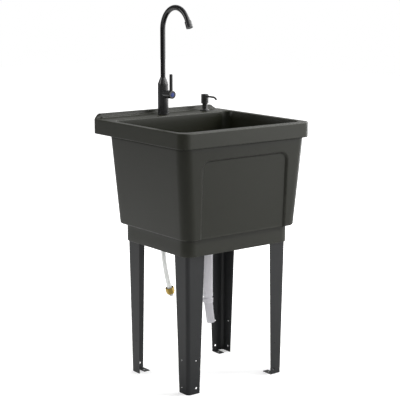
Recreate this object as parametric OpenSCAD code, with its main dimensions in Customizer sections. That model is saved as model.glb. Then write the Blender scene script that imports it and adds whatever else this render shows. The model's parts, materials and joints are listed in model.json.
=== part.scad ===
// Free-standing utility sink on four folded steel legs, with a gooseneck cold tap,
// a soap pump, a drain tailpiece and a flexible supply hose.
// Millimetres. +Z is up, the bowl's front faces -Y, and the tap deck is at +Y.
// The origin is on the floor, under the middle of the rim.

/* [Tub] */
// Width over the rim
rim_w = 530; // [480:1:600]
// Depth over the rim, front to back
rim_d = 522; // [480:1:580]
// Height of the rim's top above the floor
rim_top = 864; // [780:1:960]
// Height of the rim's outside band
rim_h = 50; // [34:1:64]
// Radius of the rim's four corners
rim_r = 34; // [20:1:44]
// Width of the rim's flat top at each side
side_rim = 22; // [18:1:32]
// Width of the rim's flat top at the front
front_rim = 31; // [26:1:40]
// Depth of the tap deck, from the bowl to the back of the rim
deck_depth = 101; // [92:1:120]
// Thickness of the tap deck
deck_t = 8; // [5:1:12]
// Thickness of the rim's band behind the deck
band_t = 6; // [4:1:9]
// How far the body stands in from the rim at each side
side_inset = 9; // [6:1:14]
// How far the body stands in from the rim at the front
front_inset = 13; // [8:1:16]
// Thickness of the back wall at its top
back_wall = 16; // [12:1:20]
// How much narrower each side gets on its way down
side_draft = 25; // [15:1:28]
// How much the front leans back on its way down
front_draft = 14; // [8:1:16]
// How much the back leans forward on its way down
back_draft = 11; // [6:1:12]
// Radius of the body's upright corners
body_r = 38; // [28:1:44]
// Size of the slope round the body's lower edge
body_foot = 6; // [3:1:9]

/* [Splash lip] */
// Height of the splash lip above the rim
lip_h = 14; // [8:1:26]
// Thickness of the splash lip
lip_t = 18; // [12:1:24]
// Height of the step in front of the lip
step_h = 4; // [2:1:6]
// Depth of the step in front of the lip
step_d = 8; // [4:1:10]
// Length of the slope at each end of the lip
lip_slope = 30; // [14:1:40]

/* [Front panel] */
// Width of the sunk front panel
panel_w = 348; // [280:1:380]
// Height of the sunk front panel, from the body's lower edge
panel_h = 253; // [200:1:260]
// Radius of the panel's upper corners
panel_r = 27; // [12:1:50]
// How deep the panel is sunk
panel_depth = 7; // [3:1:8]

/* [Bowl] */
// Depth of the bowl at its walls
bowl_depth = 324; // [290:1:328]
// How much narrower the bowl gets at each side
bowl_side_draft = 21; // [21:1:30]
// How much the bowl's front leans back
bowl_front_draft = 10; // [8:1:20]
// How much the bowl's back leans forward
bowl_back_draft = 5; // [2:1:12]
// Radius of the bowl's corners and of its lower edge
bowl_r = 28; // [18:1:40]
// Fall of the bowl's floor towards the drain
bowl_fall = 8; // [4:1:9]
// Thickness of the bowl's floor at the drain
floor_t = 7; // [5:1:12]

/* [Skirt and leg sockets] */
// Height of the skirt under the body
skirt_h = 57; // [46:1:75]
// How far the skirt stands in from the body at each side
skirt_side_inset = 15; // [12:1:20]
// How far the skirt stands in from the body at front and back
skirt_end_inset = 20; // [12:1:24]
// Thickness of the skirt
skirt_t = 6; // [4:1:8]
// How far a leg stands in from the outside of the skirt
leg_inset = 11; // [9:1:14]
// Length of a leg inside its socket
socket_depth = 44; // [30:1:52]
// Thickness of a socket's inner wall
socket_wall = 8; // [5:1:12]
// Gap round a leg in its socket
socket_gap = 0.4; // [0.2:0.1:0.8]

/* [Legs] */
// Thickness of the folded leg
leg_t = 2; // [1.5:0.1:3]
// Outside radius of the leg's fold
leg_bend = 12; // [6:1:16]
// Width of each side of a leg at the floor
leg_foot_w = 47; // [42:1:54]
// Width of each side of a leg at its top
leg_top_w = 70; // [60:1:76]
// How far each leg leans in between the skirt and the floor
leg_lean = 6; // [0:1:14]
// Height of the large foot hole
foot_hole_z = 19; // [14:1:30]
// Diameter of the large foot hole
foot_hole_d = 8; // [5:0.5:10]
// Height of the small brace hole
brace_hole_z = 112; // [60:1:160]
// Diameter of the small holes
small_hole_d = 4.5; // [3:0.5:6]
// Distance of the holes from the leg's corner
leg_hole_x = 34; // [26:1:36]
// Width of the anchor tab
tab_w = 22; // [18:1:26]
// Length of the anchor tab
tab_l = 42; // [34:1:50]
// Distance of the anchor slot's middle from the leg's face
slot_y = 24; // [16:1:26]
// Width of the anchor slot
slot_w = 7; // [5:0.5:9]
// Length of the anchor slot
slot_l = 13; // [10:0.5:15]

/* [Tap] */
// Place of the tap across the deck
tap_x = -5; // [-60:1:60]
// Distance of the tap and the pump from the back of the rim
tap_back = 57; // [50:1:60]
// Diameter of the tap's body
tap_d = 37; // [34:1:42]
// Height of the tap's body
tap_h = 101; // [92:1:120]
// Height of the sloping collar on the body
collar_h = 24; // [14:1:36]
// Diameter of the spout's tube
spout_d = 18; // [16:0.5:19]
// Wall of the spout's tube
spout_wall = 1.2; // [1:0.1:2]
// Radius of the gooseneck, along the middle of its tube
neck_r = 75; // [55:1:90]
// Height of the gooseneck's centre above the deck
neck_z = 291; // [240:1:340]
// How far round the gooseneck goes, in degrees
neck_turn = 155; // [140:1:170]
// Outside diameter of the aerator's housing
aerator_d = 23; // [21.5:0.5:26]
// Length of the aerator's housing
aerator_l = 24; // [18:1:30]
// Distance of the valve's axis below the top of the tap's body
valve_drop = 31.5; // [31:0.5:42]
// Diameter of the valve's boss
boss_d = 27; // [26:1:30]
// Distance from the tap's axis to the end of the boss
boss_l = 30; // [28:1:34]
// Diameter of the handle's hub
hub_d = 28; // [26:1:32]
// Length of the handle's hub
hub_l = 25.5; // [20:0.5:32]
// Diameter of the lever
lever_d = 12; // [8:0.5:13]
// Height of the lever's tip above the valve's axis
lever_l = 70; // [50:1:90]
// Diameter of the blue index cap
cap_d = 15; // [10:0.5:18]
// Diameter of the tap's threaded shank
shank_d = 20; // [18:0.5:21]
// Length of the shank below the deck's top
shank_l = 68; // [60:1:90]
// Diameter of the tap's hole in the deck
tap_hole_d = 28; // [24:1:30]

/* [Soap pump] */
// Distance of the soap pump from the right end of the rim
pump_in = 89; // [70:1:150]
// Diameter of the pump's flange
flange_d = 32; // [28:1:38]
// Height of the pump's flange
flange_h = 5.5; // [4:0.5:8]
// Diameter of the pump's neck
neck_d = 18; // [16:0.5:20]
// Diameter of the pump's head
head_d = 27; // [25:0.5:30]
// Height of the pump's head
head_h = 34; // [28:1:40]
// Gap under the pump's head at rest
head_gap = 20; // [17:1:24]
// How far the pump goes down
pump_travel = 15; // [8:1:16]
// Reach of the nozzle from the pump's axis
nozzle_l = 66; // [45:1:85]
// Diameter of the nozzle
nozzle_d = 7; // [5:0.5:8]
// Diameter of the soap bottle
bottle_d = 48; // [40:1:52]
// Length of the soap bottle
bottle_l = 150; // [100:1:200]

/* [Drain] */
// Outside diameter of the upper drain tube
drain_d = 31.8; // [28:0.1:34]
// Wall of the drain tubes
drain_wall = 1.6; // [1.2:0.1:2.5]
// Height of the slip joint above the floor
slip_z = 262; // [220:1:320]
// Length of the lower drain tube
lower_l = 72; // [50:1:120]
// Length of the thinner spigot at the lower tube's end
spigot_l = 50; // [30:1:60]
// Lean of the lower drain tube, in degrees
lower_lean = 8.5; // [0:0.5:12]
// Diameter of the strainer's flange
strainer_d = 80; // [72:1:92]
// Diameter of the strainer's threaded body
strainer_body_d = 46; // [44:0.5:50]

/* [Supply hose] */
// Outside diameter of the supply hose
hose_d = 16.5; // [12:0.5:18]
// Width of the brass swivel nut across its flats
nut_af = 28; // [26:0.5:32]
// Length of the brass swivel nut
nut_l = 24; // [22:1:36]
// Diameter of the white cone seal's tip
cone_d = 17; // [14:0.5:18]

/* [Hidden] */

$fn = 64;
// Sides of the rounds inside a hull
hull_fn = 32;
// Small overlap that joins shapes within one piece, and lets cuts pass through
eps = 0.5;
// Radial gap of a running or sliding fit
fit = 0.05;
// Gap between faces that turn or slide past each other
face_gap = 0.3;

tub_colour = [0.25, 0.25, 0.235];
leg_colour = [0.26, 0.27, 0.27];
black_colour = [0.09, 0.09, 0.095];
steel_colour = [0.72, 0.73, 0.74];
brass_colour = [0.78, 0.64, 0.36];
rubber_colour = [0.14, 0.14, 0.14];
white_colour = [0.9, 0.9, 0.89];
pipe_colour = [0.76, 0.76, 0.78];
blue_colour = [0.24, 0.31, 0.56];

// Height of the hollow inside the body, above its lower edge
pan_rise = 4;
// Depth of the recess that takes the strainer's flange
recess_t = 3;
// Thickness of the slices that a hull joins
slice = 1;
// How far the drain stands in front of the bowl's middle
drain_shift = 9;
// Sloped edge on a nut, a lever and a pump head
nut_chamfer = 0.6;
top_edge = 2;

// Heights of the tub's levels
band_z = rim_top - rim_h;
floor_z = rim_top - bowl_depth;
drain_z = floor_z - bowl_fall;
under_z = drain_z - recess_t - floor_t;
body_z = under_z - pan_rise;
body_h = band_z - body_z;
skirt_z = body_z - skirt_h;
deck_under = rim_top - deck_t;

// Outlines of the tub as [left, front, right, back]
rim_box = [-rim_w/2, -rim_d/2, rim_w/2, rim_d/2];
bowl_back = rim_d/2 - deck_depth;
body_top = [-rim_w/2 + side_inset, -rim_d/2 + front_inset, rim_w/2 - side_inset, bowl_back + back_wall];
body_low = shrink(body_top, [side_draft, front_draft, side_draft, back_draft]);
skirt_box = shrink(body_low, [skirt_side_inset, skirt_end_inset, skirt_side_inset, skirt_end_inset]);
leg_box = shrink(skirt_box, [leg_inset, leg_inset, leg_inset, leg_inset]);
bowl_top = [-rim_w/2 + side_rim, -rim_d/2 + front_rim, rim_w/2 - side_rim, bowl_back];
bowl_low = shrink(bowl_top, [bowl_side_draft, bowl_front_draft, bowl_side_draft, bowl_back_draft]);
front_angle = atan(front_draft / body_h);
drain_y = (bowl_top[1] + bowl_top[3]) / 2 - drain_shift;

// Legs
leg_angle = atan(leg_lean / skirt_z);
leg_top_z = skirt_z + socket_depth;
leg_low = 4;

// Tap, measured from the deck's top at the tap's axis
tap_y = rim_d/2 - tap_back;
seal_t = 2;
seal_edge = 1;
stub_r = 12;
stub_l = 20;
valve_z = seal_t + tap_h - valve_drop;
groove_w = 3;
groove_depth = 1.4;
groove_z = 1.5;
groove_gap = 2;
lock_d = 4;
lock_z = 4.5;
lock_sunk = 1;
// Hexagon socket in the two set screws
hex_r = 1;
hex_depth = 2;
body_bore = 14;
collar_edge = 1.2;
washer_in = 1;
insert_sunk = 1;
// Rings of water holes as [radius, count]
jet_rings = [[0, 1], [3, 6], [6, 12]];
jet_r = 0.9;
valve_r = 10.5;
valve_seat = 8;
spindle_r = 4;
spindle_room = 1;
spindle_seat = 4;
nut_ring = 5;
ring_sunk = 1;
cap_wall = 1;
cap_out = 0.6;
cap_depth = 2;
grub_d = 4;
grub_sunk = 2;
shank_in = 14;
shank_bore = 13;
washer_t = 2;
rubber_t = 3;
nut_t = 10;
shank_nut_af = 32;
washer_d = 44;
hose_nut_l = 22;
hose_nut_af = 24;
hose_lip = 3;
nipple_t = 3;
nipple_bore = 4;
ferrule_d = 18;
ferrule_l = 18;

// Soap pump
pump_x = rim_w/2 - pump_in;
neck_z0 = rim_top + flange_h;
head_z = neck_z0 + head_gap;
// The neck reaches a little way into the head
neck_top = head_z + 1;
stem_grip = 3;
pump_bore_r = 6.5;
spring_gap = 0.5;
spring_t = 1.5;
stem_r = 3;
stem_bore_r = 1.4;
cylinder_l = 56;
cylinder_wall = 1.2;
cylinder_rim = 2;
head_cavity = head_gap + 2;
pump_shank_d = 22;
pump_shank_l = 34;
pump_hole_d = 24;
pump_nut_d = 38;
pump_nut_t = 7;
bottle_wall = 1.5;
bottle_neck = 16;
shoulder = 12;
dip_r = 2.5;
dip_gap = 8;
nozzle_z = 8;
nozzle_bend = 26;
nozzle_dip = 45;

// Drain
gasket_t = 3;
lock_t = 10;
strainer_l = 44;
strainer_wall = 3;
ledge_w = 5;
lock_nut_d = 66;
tail_flange_t = 3;
tail_washer_t = 2;
tail_nut_d = 56;
tail_nut_t = 20;
flare_l = 14;
flare_grow = 0.6;
slip_neck_l = 6;
slip_neck_in = 2.4;
slip_l = 15;
slip_grow = 1.5;
lower_step = 1.3;
spigot_step = 0.7;
slip_room = 1.8;
slip_seat = 3;
slip_washer_t = 2;
basket_h = 12;
basket_gap = 2;
basket_t = 1.5;
seal_rise = 2;
knob_r = 5;
knob_post_r = 1.8;
knob_sunk = 3;
// Rings of basket holes as [radius, count]
basket_rings = [[6, 6], [13, 12]];
basket_hole_r = 1.6;
lug_out = 4;
lug_l = 8;
lug_w = 10;
tail_lip = 4;
slip_gap = 0.2;

// Route of the supply hose, from under the tap to its swivel nut, as [x from the tap, height]
hose_route = [
    [0, 770], [0, 750], [-0.4, 720], [-1.2, 682], [-2.4, 640], [-3.5, 596], [-4.2, 552], [-4.7, 510],
    [-4.9, 470], [-4.8, 430], [-3.6, 392], [-0.6, 356], [4.4, 322], [11, 290], [17, 266], [23.6, 240]
];
hose_sides = 10;
hose_lean = 16;
nut_grip = 4;
nut_shoulder = 10;
nut_cup = 5;
nut_edge = 1.2;
tail_flange = 4;
tail_edge = 1.5;
nut_room = 0.8;
cone_room = 2;
cone_out = 10;

// Pull the four sides of an outline in by their own distances
function shrink(b, by) = [b[0] + by[0], b[1] + by[1], b[2] - by[2], b[3] - by[3]];

// Plan of a box with round corners
module round_plan(b, r) {
    translate([b[0] + r, b[1]]) square([b[2] - b[0] - 2*r, b[3] - b[1]]);
    translate([b[0], b[1] + r]) square([b[2] - b[0], b[3] - b[1] - 2*r]);
    for (x = [b[0] + r, b[2] - r], y = [b[1] + r, b[3] - r]) translate([x, y]) circle(r);
}

// Four upright rounds at the corners of a box, for a hull
module corner_posts(b, r, z, h) {
    for (x = [b[0] + r, b[2] - r], y = [b[1] + r, b[3] - r])
        translate([x, y, z]) cylinder(h = h, r = r, $fn = hull_fn);
}

// Round tube that stands on z = 0
module tube(h, outer, inner) {
    difference() {
        cylinder(h = h, r = outer);
        translate([0, 0, -eps]) cylinder(h = h + 2*eps, r = inner);
    }
}

// Hexagon nut with its flats facing left and right
module hex_nut(h, af, bore_r) {
    difference() {
        intersection() {
            rotate(90) cylinder(h = h, r = af / 2 / cos(30), $fn = 6);
            cylinder(h = h, r = af / 2 / cos(30) - nut_chamfer);
        }
        translate([0, 0, -eps]) cylinder(h = h + 2*eps, r = bore_r);
    }
}

// TUB

module body_shape() {
    hull() {
        corner_posts(body_top, body_r, band_z, slice);
        corner_posts(body_low, body_r, body_z + body_foot, slice);
        corner_posts(shrink(body_low, [body_foot, body_foot, body_foot, body_foot]),
                     body_r - body_foot, body_z, slice);
    }
}

module bowl_space() {
    hull() {
        corner_posts(bowl_top, bowl_r, rim_top, eps);
        for (x = [bowl_low[0] + bowl_r, bowl_low[2] - bowl_r],
             y = [bowl_low[1] + bowl_r, bowl_low[3] - bowl_r])
            translate([x, y, floor_z + bowl_r]) sphere(r = bowl_r, $fn = hull_fn);
    }
    // The floor falls towards the drain, and the strainer's flange lies in a round recess
    dish_r = min(bowl_low[2] - bowl_r, drain_y - bowl_low[1] - bowl_r/2);
    translate([0, drain_y, drain_z]) cylinder(h = bowl_fall + eps, r1 = strainer_d/2 + fit, r2 = dish_r);
    translate([0, drain_y, drain_z - recess_t]) cylinder(h = bowl_fall, r = strainer_d/2 + 2*fit);
}

// Splash lip along the back, with a slope at each end and a step in front
module splash_lip() {
    back = rim_d/2;
    end = rim_w/2 - rim_r/4;
    top = rim_w/2 - lip_slope;
    low = rim_top - rim_h/2;
    translate([0, back, 0]) rotate([90, 0, 0]) linear_extrude(lip_t)
        polygon([[-end, low], [-end, rim_top], [-top, rim_top + lip_h],
                 [top, rim_top + lip_h], [end, rim_top], [end, low]]);
    translate([-rim_w/2 + lip_slope, back - lip_t - step_d, deck_under])
        cube([rim_w - 2*lip_slope, step_d + eps, deck_t + step_h]);
}

module panel_plan() {
    intersection() {
        round_plan([-panel_w/2, -panel_h, panel_w/2, panel_h], panel_r);
        translate([-panel_w/2, -body_foot - eps]) square([panel_w, panel_h + body_foot + eps]);
    }
}

// The sunk panel, cut square to the leaning front face
module panel_cut() {
    translate([0, body_low[1], body_z]) rotate([90 + front_angle, 0, 0])
        translate([0, 0, -panel_depth]) linear_extrude(panel_depth + front_draft + body_foot) panel_plan();
}

module leg_corner(x_side, y_side) {
    x = x_side < 0 ? leg_box[0] : leg_box[2];
    y = y_side < 0 ? leg_box[1] : leg_box[3];
    translate([x, y, 0]) mirror([x_side > 0 ? 1 : 0, 0, 0]) mirror([0, y_side > 0 ? 1 : 0, 0]) children();
}

module at_each_leg() {
    for (x_side = [-1, 1], y_side = [-1, 1]) leg_corner(x_side, y_side) children();
}

// Lean of a leg: its corner stands at the socket's place at the height of the skirt's lower edge
module leaning() {
    translate([0, 0, skirt_z]) rotate([leg_angle, -leg_angle, 0]) children();
}

// Block in each corner of the skirt that holds a leg
module socket_block() {
    reach = leg_top_w + socket_wall;
    thick = leg_t + socket_gap + socket_wall;
    outward = leg_inset - skirt_t / 2;
    translate([-outward, -outward, skirt_z]) linear_extrude(under_z - skirt_z + eps) difference() {
        square(reach + outward);
        translate([thick + outward, thick + outward]) square(reach + outward);
    }
}

module socket_cut() {
    leaning() translate([-socket_gap, -socket_gap, -skirt_h])
        linear_extrude(skirt_h + socket_depth) leg_section(leg_top_w + 2*socket_gap, leg_t + 2*socket_gap,
                                                          leg_bend + socket_gap);
}

module deck_pocket() {
    inner = shrink(rim_box, [band_t, 0, band_t, band_t]);
    translate([0, 0, band_z - eps]) linear_extrude(rim_h - deck_t + eps) intersection() {
        round_plan(inner, rim_r - band_t);
        translate([-rim_w, body_top[3]]) square([2*rim_w, rim_d]);
    }
}

module skirt_wall() {
    inner = shrink(skirt_box, [skirt_t, skirt_t, skirt_t, skirt_t]);
    corner_r = body_r;
    translate([0, 0, skirt_z]) linear_extrude(under_z - skirt_z + eps) difference() {
        round_plan(skirt_box, corner_r);
        round_plan(inner, corner_r - skirt_t);
    }
    intersection() {
        at_each_leg() socket_block();
        translate([0, 0, skirt_z]) linear_extrude(skirt_h + 2*body_foot) round_plan(skirt_box, corner_r);
    }
}

// Hollow under the bowl's floor, inside the skirt
module under_pocket() {
    inner = shrink(skirt_box, [skirt_t, skirt_t, skirt_t, skirt_t]);
    translate([0, 0, body_z - eps]) linear_extrude(under_z - body_z + eps)
        round_plan(inner, body_r - skirt_t);
}

module tub() {
    color(tub_colour) difference() {
        union() {
            difference() {
                union() {
                    translate([0, 0, band_z]) linear_extrude(rim_h) round_plan(rim_box, rim_r);
                    intersection() {
                        splash_lip();
                        linear_extrude(rim_top + lip_h) round_plan(rim_box, rim_r);
                    }
                }
                deck_pocket();
            }
            difference() {
                body_shape();
                under_pocket();
            }
            skirt_wall();
        }
        bowl_space();
        panel_cut();
        at_each_leg() socket_cut();
        translate([0, drain_y, body_z - eps]) cylinder(h = bowl_depth, r = strainer_body_d/2 + 2*fit);
        translate([tap_x, tap_y, deck_under - eps]) cylinder(h = deck_t + 2*eps, r = tap_hole_d/2);
        translate([pump_x, tap_y, deck_under - eps]) cylinder(h = deck_t + 2*eps, r = pump_hole_d/2);
    }
}

// LEGS

// Section of a folded leg: two flanges and a round fold, with its corner at the origin
module leg_section(w, t, bend) {
    translate([bend, 0]) square([w - bend, t]);
    translate([0, bend]) square([t, w - bend]);
    intersection() {
        square(bend);
        translate([bend, bend]) difference() {
            circle(bend);
            circle(bend - t);
        }
    }
}

// Everything outside the leg's slanting free edge, for one flange
module taper_cut() {
    rise = (leg_top_w - leg_foot_w) / leg_top_z;
    low = -skirt_z - leg_low;
    translate([0, leg_top_w, 0]) rotate([90, 0, 0]) linear_extrude(2*leg_top_w)
        polygon([[leg_foot_w - rise*leg_low, low], [leg_foot_w + leg_top_w, low],
                 [leg_foot_w + leg_top_w, leg_top_z], [leg_top_w, socket_depth]]);
}

module leg_holes() {
    for (hole = [[foot_hole_z, foot_hole_d], [brace_hole_z, small_hole_d]])
        translate([leg_hole_x, leg_t + eps, hole[0] - skirt_z]) rotate([90, 0, 0])
            cylinder(h = leg_t + 2*eps, r = hole[1]/2);
    for (z = [foot_hole_z, brace_hole_z])
        translate([-eps, leg_hole_x, z - skirt_z]) rotate([0, 90, 0])
            cylinder(h = leg_t + 2*eps, r = small_hole_d/2);
}

// Flat tab turned in at the foot, with a slot for a floor bolt
module foot_tab() {
    translate([leg_lean + leg_foot_w - tab_w, leg_lean, 0]) difference() {
        cube([tab_w, tab_l, leg_t]);
        for (side = [-1, 1])
            translate([tab_w/2 + side*(slot_l - slot_w)/2, slot_y, -eps])
                cylinder(h = leg_t + 2*eps, r = slot_w/2);
        translate([tab_w/2 - (slot_l - slot_w)/2, slot_y - slot_w/2, -eps])
            cube([slot_l - slot_w, slot_w, leg_t + 2*eps]);
    }
}

module leg(x_side, y_side) {
    color(leg_colour) leg_corner(x_side, y_side) {
        difference() {
            leaning() difference() {
                translate([0, 0, -skirt_z - leg_low])
                    linear_extrude(leg_top_z + leg_low) leg_section(leg_top_w, leg_t, leg_bend);
                taper_cut();
                mirror([1, -1, 0]) taper_cut();
                leg_holes();
            }
            translate([-leg_top_w, -leg_top_w, -2*leg_low]) cube([4*leg_top_w, 4*leg_top_w, 2*leg_low]);
        }
        foot_tab();
    }
}

// TAP

module at_tap() {
    translate([tap_x, tap_y, rim_top]) children();
}

// Along the valve's axis, from the tap's axis towards the front
module at_valve() {
    at_tap() translate([0, 0, valve_z]) rotate([90, 0, 0]) children();
}

// From the end of the gooseneck, along its outlet
module at_outlet() {
    at_tap() translate([0, -neck_r + neck_r*cos(neck_turn), neck_z + neck_r*sin(neck_turn)])
        rotate([neck_turn, 0, 0]) children();
}

module tap_base_seal() {
    color(rubber_colour) at_tap() tube(seal_t, tap_d/2 + seal_edge, shank_d/2 + fit);
}

module tap_body() {
    color(black_colour) at_tap() difference() {
        union() {
            translate([0, 0, seal_t]) cylinder(h = tap_h, r = tap_d/2);
            translate([0, 0, valve_z]) rotate([90, 0, 0]) cylinder(h = boss_l, r = boss_d/2);
        }
        // Shank below, water way in the middle, spout's bearing above
        translate([0, 0, seal_t - eps]) cylinder(h = shank_in + eps, r = shank_d/2 + fit);
        translate([0, 0, seal_t]) cylinder(h = tap_h, r = body_bore/2);
        translate([0, 0, seal_t + tap_h - stub_l - face_gap]) cylinder(h = stub_l + 2*eps, r = stub_r + fit);
        // Seat of the cartridge in the boss
        translate([0, -valve_seat, valve_z]) rotate([90, 0, 0])
            cylinder(h = boss_l, r = valve_r + fit);
        // Lock screw at the back
        translate([0, 0, seal_t + tap_h - lock_z]) rotate([-90, 0, 0])
            cylinder(h = tap_d, r = lock_d/2 + fit);
    }
}

// Sleeve on the tube's lower end, which turns in the body
module spout_stub() {
    color(brass_colour) at_tap() translate([0, 0, seal_t + tap_h - stub_l]) difference() {
        cylinder(h = stub_l, r = stub_r);
        translate([0, 0, stub_l/2]) cylinder(h = stub_l, r = spout_d/2 + fit);
        translate([0, 0, -eps]) cylinder(h = stub_l, r = spout_d/2 - spout_wall);
        for (z = o_ring_levels()) translate([0, 0, z]) tube(groove_w, stub_r + eps, stub_r - groove_depth);
        translate([0, 0, stub_l - lock_z - lock_d/2 - face_gap])
            tube(lock_d + 2*face_gap, stub_r + eps, stub_r - groove_depth);
    }
}

function o_ring_levels() = [groove_z, groove_z + groove_w + groove_gap];

module spout_o_rings() {
    color(rubber_colour) at_tap() translate([0, 0, seal_t + tap_h - stub_l])
        for (z = o_ring_levels()) translate([0, 0, z + fit])
            tube(groove_w - 2*fit, stub_r + fit/2, stub_r - groove_depth + fit);
}

module spout_lock_screw() {
    tip = stub_r - groove_depth + face_gap;
    color(steel_colour) at_tap() translate([0, tip, seal_t + tap_h - lock_z]) rotate([-90, 0, 0])
        difference() {
            cylinder(h = tap_d/2 - tip - lock_sunk, r = lock_d/2);
            translate([0, 0, tap_d/2 - tip - lock_sunk - hex_depth]) cylinder(h = lock_d, r = hex_r, $fn = 6);
        }
}

module spout_collar() {
    color(black_colour) at_tap() translate([0, 0, seal_t + tap_h + face_gap]) difference() {
        cylinder(h = collar_h, r1 = tap_d/2, r2 = spout_d/2 + collar_edge);
        translate([0, 0, -eps]) cylinder(h = collar_h + 2*eps, r = spout_d/2 + fit);
    }
}

module spout_tube() {
    low = seal_t + tap_h - stub_l/2;
    color(black_colour) at_tap() {
        translate([0, 0, low]) tube(neck_z - low, spout_d/2, spout_d/2 - spout_wall);
        translate([0, -neck_r, neck_z]) rotate([90, 0, 90]) rotate_extrude(angle = neck_turn)
            translate([neck_r, 0]) difference() {
                circle(spout_d/2);
                circle(spout_d/2 - spout_wall);
            }
    }
}

// Housing on the end of the tube, with a wider seat for the washer and the insert
module aerator_housing() {
    color(black_colour) at_outlet() difference() {
        cylinder(h = aerator_l, r = aerator_d/2);
        translate([0, 0, -eps]) cylinder(h = aerator_l, r = spout_d/2 - spout_wall);
        translate([0, 0, aerator_l/2]) cylinder(h = aerator_l, r = spout_d/2 + fit);
    }
}

module aerator_washer() {
    color(rubber_colour) at_outlet() translate([0, 0, aerator_l/2])
        tube(washer_t, spout_d/2, spout_d/2 - spout_wall - washer_in);
}

// Round insert with a ring of water holes
module aerator_insert() {
    depth = aerator_l/2 - washer_t - insert_sunk;
    color(steel_colour) at_outlet() translate([0, 0, aerator_l/2 + washer_t]) difference() {
        cylinder(h = depth, r = spout_d/2);
        for (ring = jet_rings, k = [0 : ring[1] - 1])
            rotate(k * 360 / ring[1]) translate([ring[0], 0, -eps])
                cylinder(h = depth + 2*eps, r = jet_r, $fn = 16);
    }
}

module valve_cartridge() {
    color(brass_colour) at_valve() translate([0, 0, valve_seat]) difference() {
        cylinder(h = boss_l - valve_seat - nut_ring, r = valve_r);
        translate([0, 0, spindle_seat]) cylinder(h = boss_l, r = spindle_r + fit);
    }
}

module cartridge_nut() {
    color(brass_colour) at_valve() translate([0, 0, boss_l - nut_ring])
        tube(nut_ring - ring_sunk, valve_r, spindle_r + spindle_room);
}

module valve_spindle() {
    low = valve_seat + spindle_seat + face_gap;
    color(brass_colour) at_valve() translate([0, 0, low])
        cylinder(h = boss_l + hub_l/2 - low, r = spindle_r);
}

module handle_hub() {
    color(black_colour) at_valve() translate([0, 0, boss_l + face_gap]) difference() {
        cylinder(h = hub_l, r = hub_d/2);
        translate([0, 0, -eps]) cylinder(h = hub_l/2 - face_gap + eps, r = spindle_r + fit);
        // Seat of the index cap
        translate([0, 0, hub_l - cap_depth]) cylinder(h = cap_depth + eps, r = cap_d/2 + fit);
        // Socket of the lever, and the grub screw opposite
        translate([0, 0, lever_y()]) rotate([-90, 0, 0]) cylinder(h = hub_d, r = lever_d/2 + fit);
        translate([0, 0, hub_l/4]) rotate([90, 0, 0]) cylinder(h = hub_d, r = grub_d/2 + fit);
    }
}

// Distance of the lever's axis along the hub
function lever_y() = hub_l - cap_depth - cap_wall - lever_d/2;

module hub_grub_screw() {
    long = hub_d/2 - spindle_r - grub_sunk;
    start = boss_l + face_gap + hub_l/4;
    color(steel_colour) at_valve() translate([0, -spindle_r - fit, start]) rotate([90, 0, 0])
        difference() {
            cylinder(h = long, r = grub_d/2);
            translate([0, 0, long - hex_depth]) cylinder(h = grub_d, r = hex_r, $fn = 6);
        }
}

module lever_rod() {
    long = lever_l - spindle_r - top_edge;
    out = boss_l + face_gap + lever_y();
    color(black_colour) at_valve() translate([0, spindle_r + fit, out]) rotate([-90, 0, 0]) {
        cylinder(h = long, r = lever_d/2);
        translate([0, 0, long - fit]) cylinder(h = top_edge, r1 = lever_d/2, r2 = lever_d/2 - top_edge);
    }
}

module index_cap() {
    color(blue_colour) at_valve() translate([0, 0, boss_l + face_gap + hub_l - cap_depth])
        cylinder(h = cap_depth + cap_out, r = cap_d/2);
}

module tap_shank() {
    color(brass_colour) at_tap() translate([0, 0, -shank_l])
        tube(shank_l + seal_t + shank_in, shank_d/2, shank_bore/2);
}

module shank_rubber_washer() {
    color(rubber_colour) at_tap() translate([0, 0, -deck_t - rubber_t])
        tube(rubber_t, washer_d/2, shank_d/2 + fit);
}

module shank_steel_washer() {
    color(steel_colour) at_tap() translate([0, 0, -deck_t - rubber_t - washer_t])
        tube(washer_t, washer_d/2 - 1, shank_d/2 + fit);
}

module shank_nut() {
    color(brass_colour) at_tap() translate([0, 0, -deck_t - rubber_t - washer_t - nut_t])
        hex_nut(nut_t, shank_nut_af, shank_d/2 + fit);
}

// SUPPLY HOSE

// The nut's lip holds the hose's flanged ferrule and a washer against the end of the shank
hose_nut_z = rim_top - shank_l - washer_t - nipple_t - hose_lip;
hose_start = hose_nut_z - ferrule_l;

module hose_top_nut() {
    color(steel_colour) at_tap() translate([0, 0, hose_nut_z - rim_top]) difference() {
        hex_nut(hose_nut_l, hose_nut_af, ferrule_d/2 + fit);
        translate([0, 0, hose_lip]) cylinder(h = hose_nut_l, r = shank_d/2 + fit);
    }
}

module hose_top_ferrule() {
    color(steel_colour) at_tap() translate([0, 0, hose_start - rim_top]) difference() {
        union() {
            cylinder(h = ferrule_l + hose_lip + nipple_t, r = ferrule_d/2);
            translate([0, 0, ferrule_l + hose_lip]) cylinder(h = nipple_t, r = shank_d/2 - fit);
        }
        translate([0, 0, -eps]) cylinder(h = 2*ferrule_l, r = nipple_bore);
    }
}

module hose_top_washer() {
    color(rubber_colour) at_tap() translate([0, 0, -shank_l - washer_t])
        tube(washer_t, shank_d/2 - fit, nipple_bore + washer_in);
}

// Points of the route in space; the route moves with the tap and its top end meets the ferrule
hose_points = [for (k = [0 : len(hose_route) - 1])
    [tap_x + hose_route[k][0], tap_y, hose_route[k][1] + (k < 2 ? hose_start - hose_route[0][1] : 0)]];
hose_end = hose_points[len(hose_points) - 1];

// Direction of the route at a point, as its lean from straight down
function route_lean(k) =
    k == 0 ? 0 :
    k == len(hose_points) - 1 ? hose_lean :
    atan2(hose_points[k+1][0] - hose_points[k-1][0], hose_points[k-1][2] - hose_points[k+1][2]);

function ring_point(c, lean, r, a) =
    [c[0] + r*cos(a)*cos(lean), c[1] + r*sin(a), c[2] + r*cos(a)*sin(lean)];

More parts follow.
